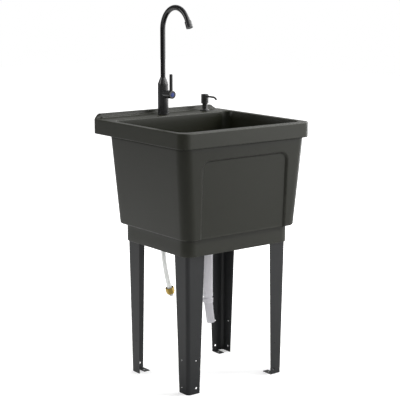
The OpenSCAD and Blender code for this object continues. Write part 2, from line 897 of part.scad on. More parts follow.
module supply_hose() {
    n = len(hose_points);
    m = hose_sides;
    rings = [for (k = [0 : n - 1], j = [0 : m - 1])
        ring_point(hose_points[k], route_lean(k), hose_d/2, 360*j/m)];
    sides = [for (k = [0 : n - 2], j = [0 : m - 1]) each
        [[k*m + j, k*m + (j+1)%m, (k+1)*m + j], [k*m + (j+1)%m, (k+1)*m + (j+1)%m, (k+1)*m + j]]];
    top = [[for (j = [m - 1 : -1 : 0]) j]];
    bottom = [[for (j = [0 : m - 1]) (n-1)*m + j]];
    color(white_colour) polyhedron(points = rings, faces = concat(sides, top, bottom));
}

// From the hose's lower end, along its lean
module at_hose_end() {
    translate(hose_end) rotate([0, 180 - hose_lean, 0]) children();
}

module hose_tail() {
    color(steel_colour) at_hose_end() {
        cylinder(h = nut_shoulder - nut_grip + eps, r = hose_d/2);
        translate([0, 0, nut_shoulder - nut_grip]) cylinder(h = tail_flange, r = cone_d/2 + tail_edge);
    }
}

module hose_swivel_nut() {
    color(brass_colour) at_hose_end() translate([0, 0, -nut_grip]) difference() {
        hex_nut(nut_l, nut_af, hose_d/2 + nut_room);
        translate([0, 0, nut_shoulder]) cylinder(h = nut_l, r = cone_d/2 + cone_room);
        translate([0, 0, -eps]) cylinder(h = nut_cup + eps, r1 = nut_af/2 - nut_edge, r2 = hose_d/2 + nut_room);
    }
}

module hose_cone_seal() {
    seat = nut_shoulder - nut_grip + tail_flange;
    color(white_colour) at_hose_end() translate([0, 0, seat])
        tube(nut_l - nut_grip + cone_out - seat, cone_d/2, cone_d/4);
}

// SOAP PUMP

module at_pump() {
    translate([pump_x, tap_y, 0]) children();
}

module pump_flange() {
    color(black_colour) at_pump() difference() {
        union() {
            translate([0, 0, rim_top]) cylinder(h = flange_h, r = flange_d/2);
            translate([0, 0, rim_top]) cylinder(h = neck_top - rim_top, r = neck_d/2);
            translate([0, 0, rim_top - pump_shank_l]) cylinder(h = pump_shank_l + eps, r = pump_shank_d/2);
        }
        translate([0, 0, rim_top - pump_shank_l - eps])
            cylinder(h = 2*cylinder_l, r = pump_bore_r + cylinder_wall + fit);
    }
}

module pump_nut() {
    color(black_colour) at_pump() translate([0, 0, deck_under - pump_nut_t])
        tube(pump_nut_t, pump_nut_d/2, pump_shank_d/2 + fit);
}

// Pump barrel, hung by its rim on the flange's neck
module pump_cylinder() {
    top = neck_top;
    color(white_colour) at_pump() difference() {
        union() {
            translate([0, 0, top - cylinder_l]) cylinder(h = cylinder_l, r = pump_bore_r + cylinder_wall);
            translate([0, 0, top]) cylinder(h = cylinder_rim/2, r = neck_d/2);
        }
        translate([0, 0, top - cylinder_l + cylinder_rim])
            cylinder(h = cylinder_l - 2*cylinder_rim, r = pump_bore_r);
        translate([0, 0, top - cylinder_rim - eps]) cylinder(h = 2*cylinder_rim + eps, r = stem_r + fit);
        translate([0, 0, top - cylinder_l - eps]) cylinder(h = cylinder_rim + 2*eps, r = stem_bore_r);
    }
}

// Level of the piston at rest, inside the barrel
piston_top = neck_top - cylinder_rim - face_gap;
piston_t = 5;
spring_low = neck_top - cylinder_l + cylinder_rim;
spring_high = piston_top - piston_t;

module pump_spring() {
    color(steel_colour) at_pump() translate([0, 0, spring_low])
        tube(spring_high - spring_low, pump_bore_r - spring_gap, pump_bore_r - spring_gap - spring_t);
}

module pump_stem() {
    low = spring_low + face_gap + pump_travel;
    color(white_colour) at_pump() difference() {
        union() {
            translate([0, 0, low]) cylinder(h = head_z + head_cavity + stem_grip - low, r = stem_r);
            translate([0, 0, spring_high]) cylinder(h = piston_t, r = pump_bore_r - face_gap);
        }
        translate([0, 0, low - eps]) cylinder(h = head_z + head_h, r = stem_bore_r);
    }
}

module pump_head() {
    color(black_colour) at_pump() translate([0, 0, head_z]) difference() {
        union() {
            cylinder(h = head_h - top_edge, r = head_d/2);
            translate([0, 0, head_h - top_edge - fit])
                cylinder(h = top_edge, r1 = head_d/2, r2 = head_d/2 - top_edge);
        }
        translate([0, 0, -eps]) cylinder(h = head_cavity + eps, r = neck_d/2 + 2*face_gap);
        translate([0, 0, head_cavity - eps]) cylinder(h = stem_grip + face_gap + eps, r = stem_r + fit);
        translate([0, 0, head_h - nozzle_z]) rotate([90, 0, 0]) cylinder(h = head_d, r = nozzle_d/2 + fit);
    }
}

// Straight tube from the head, then one bend down to the nozzle's tip
module pump_nozzle() {
    straight = nozzle_l - nozzle_bend*sin(nozzle_dip);
    start = nozzle_d/2;
    color(black_colour) at_pump() translate([0, 0, head_z + head_h - nozzle_z]) {
        translate([0, -start, 0]) rotate([90, 0, 0]) tube(straight - start, nozzle_d/2, nozzle_d/4);
        translate([0, -straight, -nozzle_bend]) rotate([90, 0, 90]) rotate(90)
            rotate_extrude(angle = nozzle_dip) translate([nozzle_bend, 0]) difference() {
                circle(nozzle_d/2);
                circle(nozzle_d/4);
            }
    }
}

module pump_dip_tube() {
    top = spring_low - cylinder_rim;
    color(white_colour) at_pump() translate([0, 0, bottle_low() + dip_gap])
        tube(top - bottle_low() - dip_gap, dip_r, dip_r/2);
}

// Height of the bottle's underside
function bottle_low() = rim_top - pump_shank_l + bottle_neck - bottle_l;

module soap_bottle() {
    top = rim_top - pump_shank_l;
    mouth = pump_shank_d/2 - 1;
    collar = pump_shank_d/2 + bottle_wall + 1;
    inside = bottle_d/2 - bottle_wall;
    color(white_colour) at_pump() difference() {
        union() {
            translate([0, 0, bottle_low()]) cylinder(h = top - shoulder - bottle_low(), r = bottle_d/2);
            translate([0, 0, top - shoulder - fit]) cylinder(h = shoulder, r1 = bottle_d/2, r2 = collar);
            translate([0, 0, top - 2*fit - eps]) cylinder(h = bottle_neck - 2*bottle_wall + eps, r = collar);
        }
        translate([0, 0, bottle_low() + bottle_wall])
            cylinder(h = top - shoulder - bottle_low() - 2*bottle_wall, r = inside);
        translate([0, 0, top - shoulder - bottle_wall - fit])
            cylinder(h = shoulder + fit, r1 = inside, r2 = mouth);
        translate([0, 0, top - eps]) cylinder(h = bottle_neck + eps, r = pump_shank_d/2 + fit);
        translate([0, 0, top - 2*bottle_wall]) cylinder(h = bottle_neck, r = mouth);
    }
}

// DRAIN

module at_drain(z) {
    translate([0, drain_y, z]) children();
}

strainer_bore = strainer_body_d/2 - strainer_wall;
strainer_low = drain_z - recess_t - strainer_l;

module strainer_flange() {
    color(steel_colour) difference() {
        union() {
            at_drain(drain_z - recess_t) cylinder(h = recess_t, r = strainer_d/2);
            at_drain(strainer_low) cylinder(h = strainer_l + eps, r = strainer_body_d/2);
        }
        at_drain(drain_z - basket_h) cylinder(h = basket_h + eps, r = strainer_bore);
        at_drain(strainer_low - eps) cylinder(h = strainer_l + recess_t, r = strainer_bore - ledge_w);
    }
}

module strainer_gasket() {
    color(rubber_colour) at_drain(under_z - gasket_t) tube(gasket_t, lock_nut_d/2 + 1, strainer_body_d/2 + fit);
}

module strainer_nut() {
    color(white_colour) at_drain(under_z - gasket_t - lock_t) difference() {
        union() {
            cylinder(h = lock_t, r = lock_nut_d/2 - lug_out);
            // Grip lugs round the nut
            for (k = [0 : 60 : 300]) rotate(k) translate([lock_nut_d/2 - lug_l, -lug_w/2, 0])
                cube([lug_l, lug_w, lock_t]);
        }
        translate([0, 0, -eps]) cylinder(h = lock_t + 2*eps, r = strainer_body_d/2 + fit);
    }
}

// Lift-out basket with holes in its floor and a pull knob
module strainer_basket() {
    r = strainer_bore - basket_gap;
    color(steel_colour) at_drain(drain_z - basket_h + face_gap + seal_rise) {
        difference() {
            cylinder(h = basket_h - 2*seal_rise, r = r);
            translate([0, 0, basket_t]) cylinder(h = basket_h, r = r - basket_t);
            for (ring = basket_rings, k = [0 : ring[1] - 1])
                rotate(k * 360 / ring[1]) translate([ring[0], 0, -eps])
                    cylinder(h = basket_h/2, r = basket_hole_r, $fn = 20);
        }
        translate([0, 0, basket_t/2]) cylinder(h = basket_h - knob_sunk, r = knob_post_r);
        translate([0, 0, basket_h - seal_rise - knob_sunk]) cylinder(h = knob_r, r = knob_r);
    }
}

// Rubber ring on which the basket rests
module basket_seal() {
    color(rubber_colour) at_drain(drain_z - basket_h)
        tube(seal_rise + face_gap, strainer_bore - basket_gap - fit, strainer_bore - ledge_w + eps);
}

tail_top = strainer_low - tail_washer_t;

module tailpiece_washer() {
    color(rubber_colour) at_drain(tail_top) tube(tail_washer_t, strainer_body_d/2, drain_d/2 - drain_wall);
}

module tailpiece_nut() {
    low = tail_top - tail_flange_t - tail_lip;
    color(white_colour) at_drain(low) difference() {
        intersection() {
            rotate(22.5) cylinder(h = tail_nut_t, r = tail_nut_d/2, $fn = 8);
            cylinder(h = tail_nut_t, r = tail_nut_d/2 - nut_chamfer);
        }
        translate([0, 0, -eps]) cylinder(h = tail_nut_t, r = drain_d/2 + 2*fit);
        translate([0, 0, tail_lip]) cylinder(h = tail_nut_t, r = strainer_body_d/2 + fit);
    }
}

module drain_tailpiece() {
    r = drain_d/2;
    bore = r - drain_wall;
    neck_r0 = r - slip_neck_in;
    low = slip_z - slip_seat;
    color(pipe_colour) difference() {
        union() {
            at_drain(tail_top - tail_flange_t) cylinder(h = tail_flange_t, r = strainer_body_d/2);
            at_drain(slip_z + slip_neck_l) cylinder(h = tail_top - slip_z - slip_neck_l - fit, r = r);
            at_drain(slip_z + slip_neck_l) cylinder(h = flare_l, r = r + flare_grow);
            at_drain(low) cylinder(h = slip_neck_l + slip_seat + eps, r = neck_r0);
        }
        at_drain(slip_z + slip_neck_l + flare_l) cylinder(h = tail_top, r = bore);
        at_drain(low - eps) cylinder(h = tail_top, r = neck_r0 - drain_wall);
    }
}

// The lower tube leans from the slip joint's middle
module at_lower() {
    at_drain(slip_z - slip_l/2) rotate([0, 180 - lower_lean, 0]) children();
}

slip_r = drain_d/2 + slip_grow;
lower_r = drain_d/2 - lower_step;

module slip_nut() {
    color(pipe_colour) at_drain(slip_z - slip_l) difference() {
        cylinder(h = slip_l, r = slip_r);
        translate([0, 0, slip_l - slip_seat - eps])
            cylinder(h = slip_seat + 2*eps, r = drain_d/2 - slip_neck_in + fit);
        translate([0, 0, -eps]) cylinder(h = slip_l - slip_seat + eps, r = lower_r + slip_room);
    }
}

module slip_washer() {
    color(rubber_colour) at_drain(slip_z - slip_seat - slip_washer_t)
        tube(slip_washer_t, lower_r + slip_room - slip_gap, drain_d/2 - slip_neck_in - drain_wall);
}

module lower_drain_tube() {
    head = slip_z - slip_seat - slip_washer_t;
    color(pipe_colour) difference() {
        union() {
            at_lower() cylinder(h = lower_l + slip_l/2 - spigot_l, r = lower_r);
            at_lower() cylinder(h = lower_l + slip_l/2, r = lower_r - spigot_step);
            at_drain(slip_z - slip_l) cylinder(h = head - slip_z + slip_l, r = lower_r + slip_room - slip_gap);
        }
        at_drain(head) cylinder(h = slip_l, r = slip_r);
        at_lower() translate([0, 0, -slip_l]) cylinder(h = lower_l + 2*slip_l + eps, r = lower_r - drain_wall);
    }
}

tub();
leg(-1, -1);  // leg_front_left
leg(1, -1);  // leg_front_right
leg(-1, 1);  // leg_back_left
leg(1, 1);  // leg_back_right
tap_base_seal();
tap_body();
spout_collar();
spout_stub();
spout_o_rings();
spout_lock_screw();
spout_tube();
aerator_housing();
aerator_washer();
aerator_insert();
valve_cartridge();
cartridge_nut();
valve_spindle();
handle_hub();
hub_grub_screw();
lever_rod();
index_cap();
tap_shank();
shank_rubber_washer();
shank_steel_washer();
shank_nut();
hose_top_nut();
hose_top_washer();
hose_top_ferrule();
supply_hose();
hose_tail();
hose_swivel_nut();
hose_cone_seal();
pump_flange();
pump_nut();
pump_cylinder();
pump_spring();
pump_stem();
pump_head();
pump_nozzle();
pump_dip_tube();
soap_bottle();
strainer_flange();
strainer_gasket();
strainer_nut();
strainer_basket();
basket_seal();
tailpiece_nut();
tailpiece_washer();
drain_tailpiece();
slip_washer();
slip_nut();
lower_drain_tube();
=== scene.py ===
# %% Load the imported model
import json
import math

import bmesh
import bpy
import numpy as np
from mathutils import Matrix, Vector

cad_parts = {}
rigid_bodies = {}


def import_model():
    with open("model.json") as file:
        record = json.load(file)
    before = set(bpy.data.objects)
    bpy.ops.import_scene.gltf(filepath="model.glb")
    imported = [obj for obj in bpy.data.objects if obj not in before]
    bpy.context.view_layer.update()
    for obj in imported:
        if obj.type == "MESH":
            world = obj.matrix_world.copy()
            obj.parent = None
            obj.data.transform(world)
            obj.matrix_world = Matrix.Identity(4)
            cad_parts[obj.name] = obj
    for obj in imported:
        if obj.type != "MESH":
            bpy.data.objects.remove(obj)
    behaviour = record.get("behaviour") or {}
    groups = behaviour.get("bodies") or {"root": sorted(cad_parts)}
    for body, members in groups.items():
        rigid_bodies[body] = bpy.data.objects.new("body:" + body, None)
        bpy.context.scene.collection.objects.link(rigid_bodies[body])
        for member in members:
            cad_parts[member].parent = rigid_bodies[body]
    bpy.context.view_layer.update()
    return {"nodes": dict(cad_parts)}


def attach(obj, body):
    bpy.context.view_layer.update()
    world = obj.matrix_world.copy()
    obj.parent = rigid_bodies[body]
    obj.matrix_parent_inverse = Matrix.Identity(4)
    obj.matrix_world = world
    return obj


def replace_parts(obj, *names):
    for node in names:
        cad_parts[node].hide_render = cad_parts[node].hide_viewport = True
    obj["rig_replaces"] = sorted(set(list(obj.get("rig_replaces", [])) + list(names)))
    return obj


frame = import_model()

MM = 0.001

# %% [markdown]
# ## The view
#
# A product shot like this one is taken with a long lens from a few metres away, so that upright edges
# stay nearly parallel. The lens and the place of the camera were worked out from the straight edges of
# the tub, the skirt and the legs. The picture is square.

# %% Camera
PICTURE_PIXELS = 400
FOCAL_PIXELS = 1214.62
SENSOR_MM = 36.0
CAMERA_AT = (-2.43075, -3.19893, 1.35682)
LOOKS_DOWN, TURNED_RIGHT = 10.769, 37.223


def new_object(name, data):
    """An object with this camera, lamp or mesh, put into the scene."""
    made = bpy.data.objects.new(name, data)
    bpy.context.scene.collection.objects.link(made)
    return made


photo_lens = bpy.data.cameras.new("photo_camera")
photo_lens.sensor_width = SENSOR_MM
photo_lens.lens = FOCAL_PIXELS / PICTURE_PIXELS * SENSOR_MM
photo_camera = new_object("photo_camera", photo_lens)
photo_camera.location = CAMERA_AT
photo_camera.rotation_euler = (math.radians(90 - LOOKS_DOWN), 0, math.radians(-TURNED_RIGHT))
bpy.context.scene.camera = photo_camera
print("lens of", round(photo_lens.lens, 1), "mm")

# %% [markdown]
# ## Surfaces from grids
#
# Nearly every piece here is turned, moulded or bent, so its skin is a function of two numbers: how far
# along a profile, and how far round. We work out such a skin as one numpy array of points, row by row,
# and give the array to Blender. Each row is a closed ring of points. The rows may close too, as they do
# on a washer.

# %% A mesh from a grid of points
MERGE_WITHIN, SHORTEST_EDGE = 2e-6, 1e-7


def grid_faces(rows, columns, close_rows):
    """Corner numbers of the quads between neighbouring points: (i, j), (i, j+1), (i+1, j+1), (i+1, j).
    Each row joins its own start, and where close_rows is true, the last row joins the first."""
    i, j = np.meshgrid(np.arange(rows if close_rows else rows - 1), np.arange(columns), indexing="ij")
    i2, j2 = (i + 1) % rows, (j + 1) % columns
    quads = np.stack([i * columns + j, i * columns + j2, i2 * columns + j2, i2 * columns + j], axis=-1)
    return quads.reshape(-1, 4)


def volume(points, quads):
    """Signed volume of a closed skin: the sum over its triangles of a . (b x c) / 6. It is above zero
    where the faces point outwards, so a skin with a volume below zero has its faces turned over."""
    a, b, c, d = (points[quads[:, k]] for k in range(4))
    return (np.einsum("ij,ij", a, np.cross(b, c)) + np.einsum("ij,ij", a, np.cross(c, d))) / 6


def close_poles(mesh):
    """Merges points that coincide, so that the ring at a pole becomes one point."""
    work = bmesh.new()
    work.from_mesh(mesh)
    bmesh.ops.remove_doubles(work, verts=work.verts, dist=MERGE_WITHIN)
    bmesh.ops.dissolve_degenerate(work, edges=work.edges, dist=SHORTEST_EDGE)
    work.to_mesh(mesh)
    work.free()


def make_piece(name, skins, stands_for, finish=None, body="sink", sharp=32.0):
    """One object from one or more closed skins. Each is a dictionary with its points in millimetres
    (rows, columns, 3), whether its rows close, and any values per point, such as edge."""
    points, faces, first = [], [], 0
    values = {"edge": [], "shade": [], "along": [], "round": []}
    for skin in skins:
        rows, columns = skin["points"].shape[:2]
        flat = skin["points"].reshape(-1, 3) * MM
        quads = grid_faces(rows, columns, skin.get("close_rows", False))
        faces.append(first + (quads if volume(flat, quads) > 0 else quads[:, ::-1]))
        points.append(flat)
        for key, parts in values.items():
            parts.append(np.broadcast_to(skin.get(key, 0.0), (rows, columns)).reshape(-1))
        first += rows * columns
    mesh = bpy.data.meshes.new(name)
    mesh.from_pydata(np.concatenate(points), [], np.concatenate(faces))
    for key, parts in values.items():
        value = np.concatenate(parts).astype(np.float32)
        if np.any(value):
            mesh.attributes.new(key, "FLOAT", "POINT").data.foreach_set("value", value)
    close_poles(mesh)
    mesh.shade_smooth()
    mesh.set_sharp_from_angle(angle=math.radians(sharp))
    piece = new_object(name, mesh)
    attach(piece, body)
    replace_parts(piece, *stands_for)
    if finish:
        mesh.materials.append(finish)
    print(name, len(mesh.vertices), "points", len(mesh.polygons), "faces")
    return piece


# %% [markdown]
# ## Profiles with soft corners
#
# No real edge is perfectly sharp. A moulded or painted edge has a small round on it, and that round is
# what catches the light in a picture. So each profile is given as corners with their own rounding, and
# every corner becomes a short curve that starts and ends along its two sides.

# %% Rounded profile
MOST_ROUNDED, MOST_LED = 0.45, 0.49  # shares of a side that a curve and its further point may reach
LEAD = 0.25  # how far beyond the curve the further point lies, in millimetres


def profile(*corners, steps=6):
    """Outline through corners (radius, height, rounding). A rounded corner P runs from A to B, the points
    on its two sides at the rounding's distance, along (1-s)^2 A + 2s(1-s) P + s^2 B for s from 0 to 1.
    A further point a little way along each side keeps the flat beside it flat in the shading."""
    pts = np.array([c[:2] for c in corners], float)
    out = [pts[:1]]
    s = np.linspace(0, 1, steps + 1)[:, None]
    for before, here, after, corner in zip(pts[:-2], pts[1:-1], pts[2:], corners[1:-1]):
        to_before, to_after = before - here, after - here
        len_before, len_after = np.hypot(*to_before), np.hypot(*to_after)
        to_before, to_after = to_before / len_before, to_after / len_after
        wanted = corner[2] if len(corner) > 2 else 0
        reach = min(wanted, MOST_ROUNDED * len_before, MOST_ROUNDED * len_after)
        if reach <= 0:
            out.append(here[None])
            continue
        a, b = here + to_before * reach, here + to_after * reach
        curve = (1 - s) ** 2 * a + 2 * s * (1 - s) * here + s ** 2 * b
        lead = here + to_before * min(reach + LEAD, MOST_LED * len_before)
        tail = here + to_after * min(reach + LEAD, MOST_LED * len_after)
        out += [lead[None], curve, tail[None]]
    out.append(pts[-1:])
    return np.concatenate(out)


def groove(radius, depth, start, slope, floor, edge=0.3, inner=0.2):
    """Corners of a shallow ring groove: down a slope, along its floor and up again."""
    low = radius - depth
    return [(radius, start, edge), (low, start + slope, inner), (low, start + slope + floor, inner),
            (radius, start + 2 * slope + floor, edge)]


# %% Turned and swept surfaces
FORWARD = (0, -1, 0)


def axes_for(direction):
    """The direction at length 1, and two more that are square to it and to each other."""
    d = np.array(direction, float)
    d /= np.linalg.norm(d)
    side = np.array([1.0, 0, 0]) if abs(d[0]) < 0.9 else np.array([0, 1.0, 0])
    e1 = side - d * side.dot(d)
    e1 /= np.linalg.norm(e1)
    return d, e1, np.cross(d, e1)


def turned(*corners, at, way=(0, 0, 1), around=64, closed=False, swell=None, steps=6):
    """Surface of revolution: at + height * axis + radius * (cos a * e1 + sin a * e2), for each point
    (radius, height) of the profile and each angle a. A swell of (angle, height) multiplies the radius."""
    outline = profile(*corners, steps=steps)
    axis, e1, e2 = axes_for(way)
    a = np.linspace(0, 2 * math.pi, around, endpoint=False)
    radius, height = outline[:, :1], outline[:, 1:]
    if swell:
        radius = radius * swell(a[None], height)
    pts = (np.array(at, float) + height[..., None] * axis
           + (radius * np.cos(a))[..., None] * e1 + (radius * np.sin(a))[..., None] * e2)
    return {"points": pts, "close_rows": closed, "outline": outline}


def swept(path, radius, binormal, around=32, capped=True):
    """Tube along a path that lies in one plane. At each point a circle stands square to the path:
    point + radius * (cos a * n + sin a * b), with b the plane's normal and n square to path and b."""
    path = np.asarray(path, float)
    along = np.gradient(path, axis=0)
    along /= np.linalg.norm(along, axis=1, keepdims=True)
    b = np.array(binormal, float)
    n = np.cross(b, along)
    a = np.linspace(0, 2 * math.pi, around, endpoint=False)
    length = np.concatenate([[0], np.cumsum(np.linalg.norm(np.diff(path, axis=0), axis=1))])
    pts = path[:, None] + radius * (np.cos(a)[None, :, None] * n[:, None] + np.sin(a)[None, :, None] * b)
    if capped:
        start, end = (np.repeat(p[None, None], around, 1) for p in (path[0], path[-1]))
        pts = np.concatenate([start, pts, end])
        length = np.concatenate([length[:1], length, length[-1:]])
    return {"points": pts, "along": length[:, None] * MM, "round": a[None] / (2 * math.pi)}


def smooth_path(points, count):
    """Curve through the points: Catmull-Rom, with each stretch t from 0 to 1 given by
    ((2P1) + (P2-P0) t + (2P0-5P1+4P2-P3) t^2 + (3P1-P0-3P2+P3) t^3) / 2, sampled at even steps."""
    p = np.asarray(points, float)
    p = np.concatenate([2 * p[:1] - p[1:2], p, 2 * p[-1:] - p[-2:-1]])
    u = np.linspace(0, len(points) - 1, count)
    k = np.minimum(u.astype(int), len(points) - 2)
    t = (u - k)[:, None]
    p0, p1, p2, p3 = p[k], p[k + 1], p[k + 2], p[k + 3]
    return (2 * p1 + (p2 - p0) * t + (2 * p0 - 5 * p1 + 4 * p2 - p3) * t ** 2
            + (3 * p1 - p0 - 3 * p2 + p3) * t ** 3) / 2


# %% [markdown]
# ## The supply hose
#
# The hose hangs from the tap's shank under the deck, bows a little to the left as new hose does, and
# swings to the right at its free end, which carries a brass swivel nut. It is about half a metre long
# and 16.5 mm thick. We follow the same points as the solid model and sweep a circle along them.

# %% Route of the hose
TAP_X, TAP_Y = -5.0, 204.0
HOSE_R, HOSE_SAMPLES = 8.25, 181
hose_route = np.array([
    [0, 770], [0, 750], [-0.4, 720], [-1.2, 682], [-2.4, 640], [-3.5, 596], [-4.2, 552], [-4.7, 510],
    [-4.9, 470], [-4.8, 430], [-3.6, 392], [-0.6, 356], [4.4, 322], [11, 290], [17, 266], [23.6, 240]])
hose_points = np.stack([TAP_X + hose_route[:, 0], np.full(len(hose_route), TAP_Y), hose_route[:, 1]], axis=1)
hose_line = smooth_path(hose_points, HOSE_SAMPLES)
supply_hose = make_piece("supply_hose_braid", [swept(hose_line, HOSE_R, (0, 1, 0))],
                         stands_for=["supply_hose"])

# %% [markdown]
# ## The lamps
#
# A dark glossy tub shows mostly what it mirrors, so large soft lamps stand round it where its faces look:
# behind it at the left, at the right, in front and overhead. The rounded corner between the two near faces
# turns towards the camera, where no lamp is mirrored, so it goes dark, and that is what makes a black tub
# readable. Three lamps are left out of reflections: the strongest, which would glare on the deck when seen
# from behind, the overhead one, which would bleach the spout's arch, and a fill lamp near the camera, which
# lights the white drain tube and the hose but would spoil the dark corner.

# %% Lamps
LAMPS_AIM_AT = (0, 0, 0.6)


def area_lamp(name, place, size, power, mirrored=True):
    """Rectangular lamp at a place, turned to shine at the sink, and shown in reflections or not."""
    light = bpy.data.lights.new(name, "AREA")
    light.shape = "RECTANGLE"
    light.size, light.size_y = size
    light.energy = power
    lamp = new_object(name, light)
    lamp.location = place
    lamp.rotation_euler = (Vector(LAMPS_AIM_AT) - Vector(place)).to_track_quat("-Z", "Y").to_euler()
    lamp.visible_glossy = mirrored


area_lamp("lamp_key", (2.0, -1.4, 2.4), (1.2, 1.2), 62, mirrored=False)
area_lamp("lamp_side", (2.4, 0.6, 2.4), (1.2, 1.2), 21)
area_lamp("lamp_over", (0.3, 0.9, 3.0), (2.2, 1.6), 50, mirrored=False)
area_lamp("lamp_right", (3.0, 0.2, 1.0), (1.4, 1.8), 28)
area_lamp("lamp_fill", (-2.4, -2.0, 1.0), (2.0, 2.0), 25, mirrored=False)
area_lamp("lamp_front", (2.3, -2.0, 1.0), (1.6, 2.0), 9)
area_lamp("lamp_left", (-2.4, 1.4, 2.0), (1.4, 1.2), 13)
bpy.context.scene.view_settings.view_transform = "Standard"

# %% [markdown]
# ## Writing shaders as sums
#
# A procedural finish is a little arithmetic on noise. Typed as nodes it is hard to read, so we wrap a
# node's output in a class whose operators add the Math nodes for us. Colours are mixed by a Mix node,
# because a Math node would turn them grey. Any other node comes from one method.


# %% A node's output that can be added and multiplied
def operator(operation, swapped=False):
    """A method that adds one Math node. The reflected form, as in 1 - signal, has its values swapped.
    A sine or an absolute value takes no second number."""
    def method(self, other=0.0):
        first, second = (other, self) if swapped else (self, other)
        return self.bench.node("ShaderNodeMath", {"operation": operation}, {0: first, 1: second})
    return method


class Signal:
    """One output of a node. An expression on it and numbers adds the Math nodes that work it out."""

    __add__, __radd__ = operator("ADD"), operator("ADD", swapped=True)
    __sub__, __rsub__ = operator("SUBTRACT"), operator("SUBTRACT", swapped=True)
    __mul__, __rmul__ = operator("MULTIPLY"), operator("MULTIPLY", swapped=True)
    __pow__ = operator("POWER")
    larger, wave, size = operator("MAXIMUM"), operator("SINE"), operator("ABSOLUTE")

    def __init__(self, bench, socket):
        self.bench, self.socket = bench, socket

    def above(self, low, high):
        """0 below low, 1 above high, and a smooth step between."""
        return self.bench.node("ShaderNodeMapRange", {"interpolation_type": "SMOOTHSTEP"},
                               {"Value": self, "From Min": low, "From Max": high})


# %% The workbench and the finish
class Workbench:
    """A node tree that is being filled."""

    def __init__(self, tree):
        self.tree = tree

    def feed(self, target, value):
        """Links a signal to a socket, or sets the socket's own number, vector or colour."""
        if isinstance(value, Signal):
            self.tree.links.new(value.socket, target)
        else:
            target.default_value = (*value, 1.0) if target.type == "RGBA" else value

    def node(self, kind, settings=None, inputs=None, output=0):
        """One output of a new node. Its settings come first, then the values or links of its inputs."""
        made = self.tree.nodes.new(kind)
        for key, value in (settings or {}).items():
            setattr(made, key, value)
        for key, value in (inputs or {}).items():
            self.feed(made.inputs[key], value)
        return Signal(self, made.outputs[output])

    def ray(self, kind):
        """1 where the surface is seen by this kind of ray, such as Camera or Glossy, and 0 elsewhere."""
        return self.node("ShaderNodeLightPath", output=f"Is {kind} Ray")

    def facing(self, direction, way, power):
        """How nearly a direction points one way: (1 + their dot product) / 2, to a power."""
        product = self.node("ShaderNodeVectorMath", {"operation": "DOT_PRODUCT"}, {0: direction, 1: way},
                            "Value")
        return ((product + 1) * 0.5) ** power


class Finish(Workbench):
    """One material being made: a shader with fixed numbers, and signals that vary over the surface.
    Scales count waves or cells in a metre."""

    def __init__(self, name, **fixed):
        self.material = bpy.data.materials.new(name)
        self.material.use_nodes = True
        super().__init__(self.material.node_tree)
        self.shader = self.tree.nodes["Principled BSDF"]
        self.set(**fixed)
        self.place = self.node("ShaderNodeTexCoord", output="Object")

    def set(self, **signals):
        for key, value in signals.items():
            self.feed(self.shader.inputs[key.replace("_", " ")], value)
        return self.material

    def noise(self, scale, detail, rough, at=None):
        return self.node("ShaderNodeTexNoise", inputs={"Vector": at or self.place, "Scale": scale,
                                                       "Detail": detail, "Roughness": rough})

    def cells(self, scale):
        """Distance to the nearest of many scattered points."""
        return self.node("ShaderNodeTexVoronoi", inputs={"Vector": self.place, "Scale": scale},
                         output="Distance")

    def lines(self, scale, detail, rough, turn=(0, 0, 0)):
        """Noise stretched into streaks: its scale is given along x, y and z, after an optional turn."""
        at = self.node("ShaderNodeMapping", inputs={"Vector": self.place, "Scale": scale, "Rotation": turn})
        return self.noise(1.0, detail, rough, at)

    def attribute(self, name):
        return self.node("ShaderNodeAttribute", {"attribute_name": name}, output="Fac")

    def mix(self, share, a, b):
        return self.node("ShaderNodeMix", {"data_type": "RGBA"}, {0: share, 6: a, 7: b}, 2)

    def bump(self, height, depth, strength):
        """A bump whose height runs from 0 to 1 over the given depth in metres."""
        return self.node("ShaderNodeBump", inputs={"Height": height, "Distance": depth, "Strength": strength})


def paint(colour, times=1.0):
    """Linear light of a grey or a colour that is written as 0 to 255, as in a picture editor:
    (c/255 + 0.055)/1.055 to the power 2.4. The colour may be darkened by a factor first."""
    channels = (colour,) * 3 if isinstance(colour, int) else colour
    return tuple(((times * c / 255 + 0.055) / 1.055) ** 2.4 for c in channels)


# %% [markdown]
# ## Finishes
#
# The tub is moulded from a black plastic that looks dark grey in the light, with a fine leathery grain
# from its mould. The legs are folded steel with a satin powder coat, whose surface has the faint dimples
# of orange peel. The tap and the pump are gloss black. Each finish gets its own small faults, such as a
# rubbed edge or a smear, because an even colour never looks real.


# %% Tub plastic
def tub_plastic():
    """Cloudy tone, mould grain, rubbed edges, a lighter line along the panel's crest that is rub and painted
    highlight, faint upright streaks, and painted shade in the joints and up the wall under the rim.
    """
    f = Finish("tub_plastic")
    cloud = f.noise(5.0, 3.0, 0.55)
    grain = f.noise(900.0, 2.0, 0.6)
    pebble = f.cells(620.0)
    # Rubbed edges are lighter; along the panel's crest the lighter line is painted highlight too.
    rub_and_crest_highlight = f.attribute("edge") * f.noise(60.0, 4.0, 0.7).above(0.35, 0.7)
    streak = f.lines((240, 240, 9), 5.0, 0.65).above(0.62, 0.8)
    shade = f.attribute("shade")
    base = f.mix(cloud, paint((25, 26, 17)), paint((30, 31, 22)))
    base = f.mix(rub_and_crest_highlight * 0.5, base, paint((72, 73, 66)))
    base = f.mix(streak * 0.08, base, paint((62, 62, 56)))
    # Painted shade: darker in the joints and up the wall under the rim, as the skin's shade value says.
    base = f.mix(shade, base, paint((14, 15, 0)))
    rough = 0.30 + 0.08 * cloud - 0.06 * rub_and_crest_highlight + 0.05 * grain + 0.30 * shade.above(0.7, 1.0)
    return f.set(Base_Color=base, Roughness=rough,
                 Normal=f.bump(grain * 0.6 + pebble * 0.4, depth=0.00006, strength=0.5))


TUB = tub_plastic()


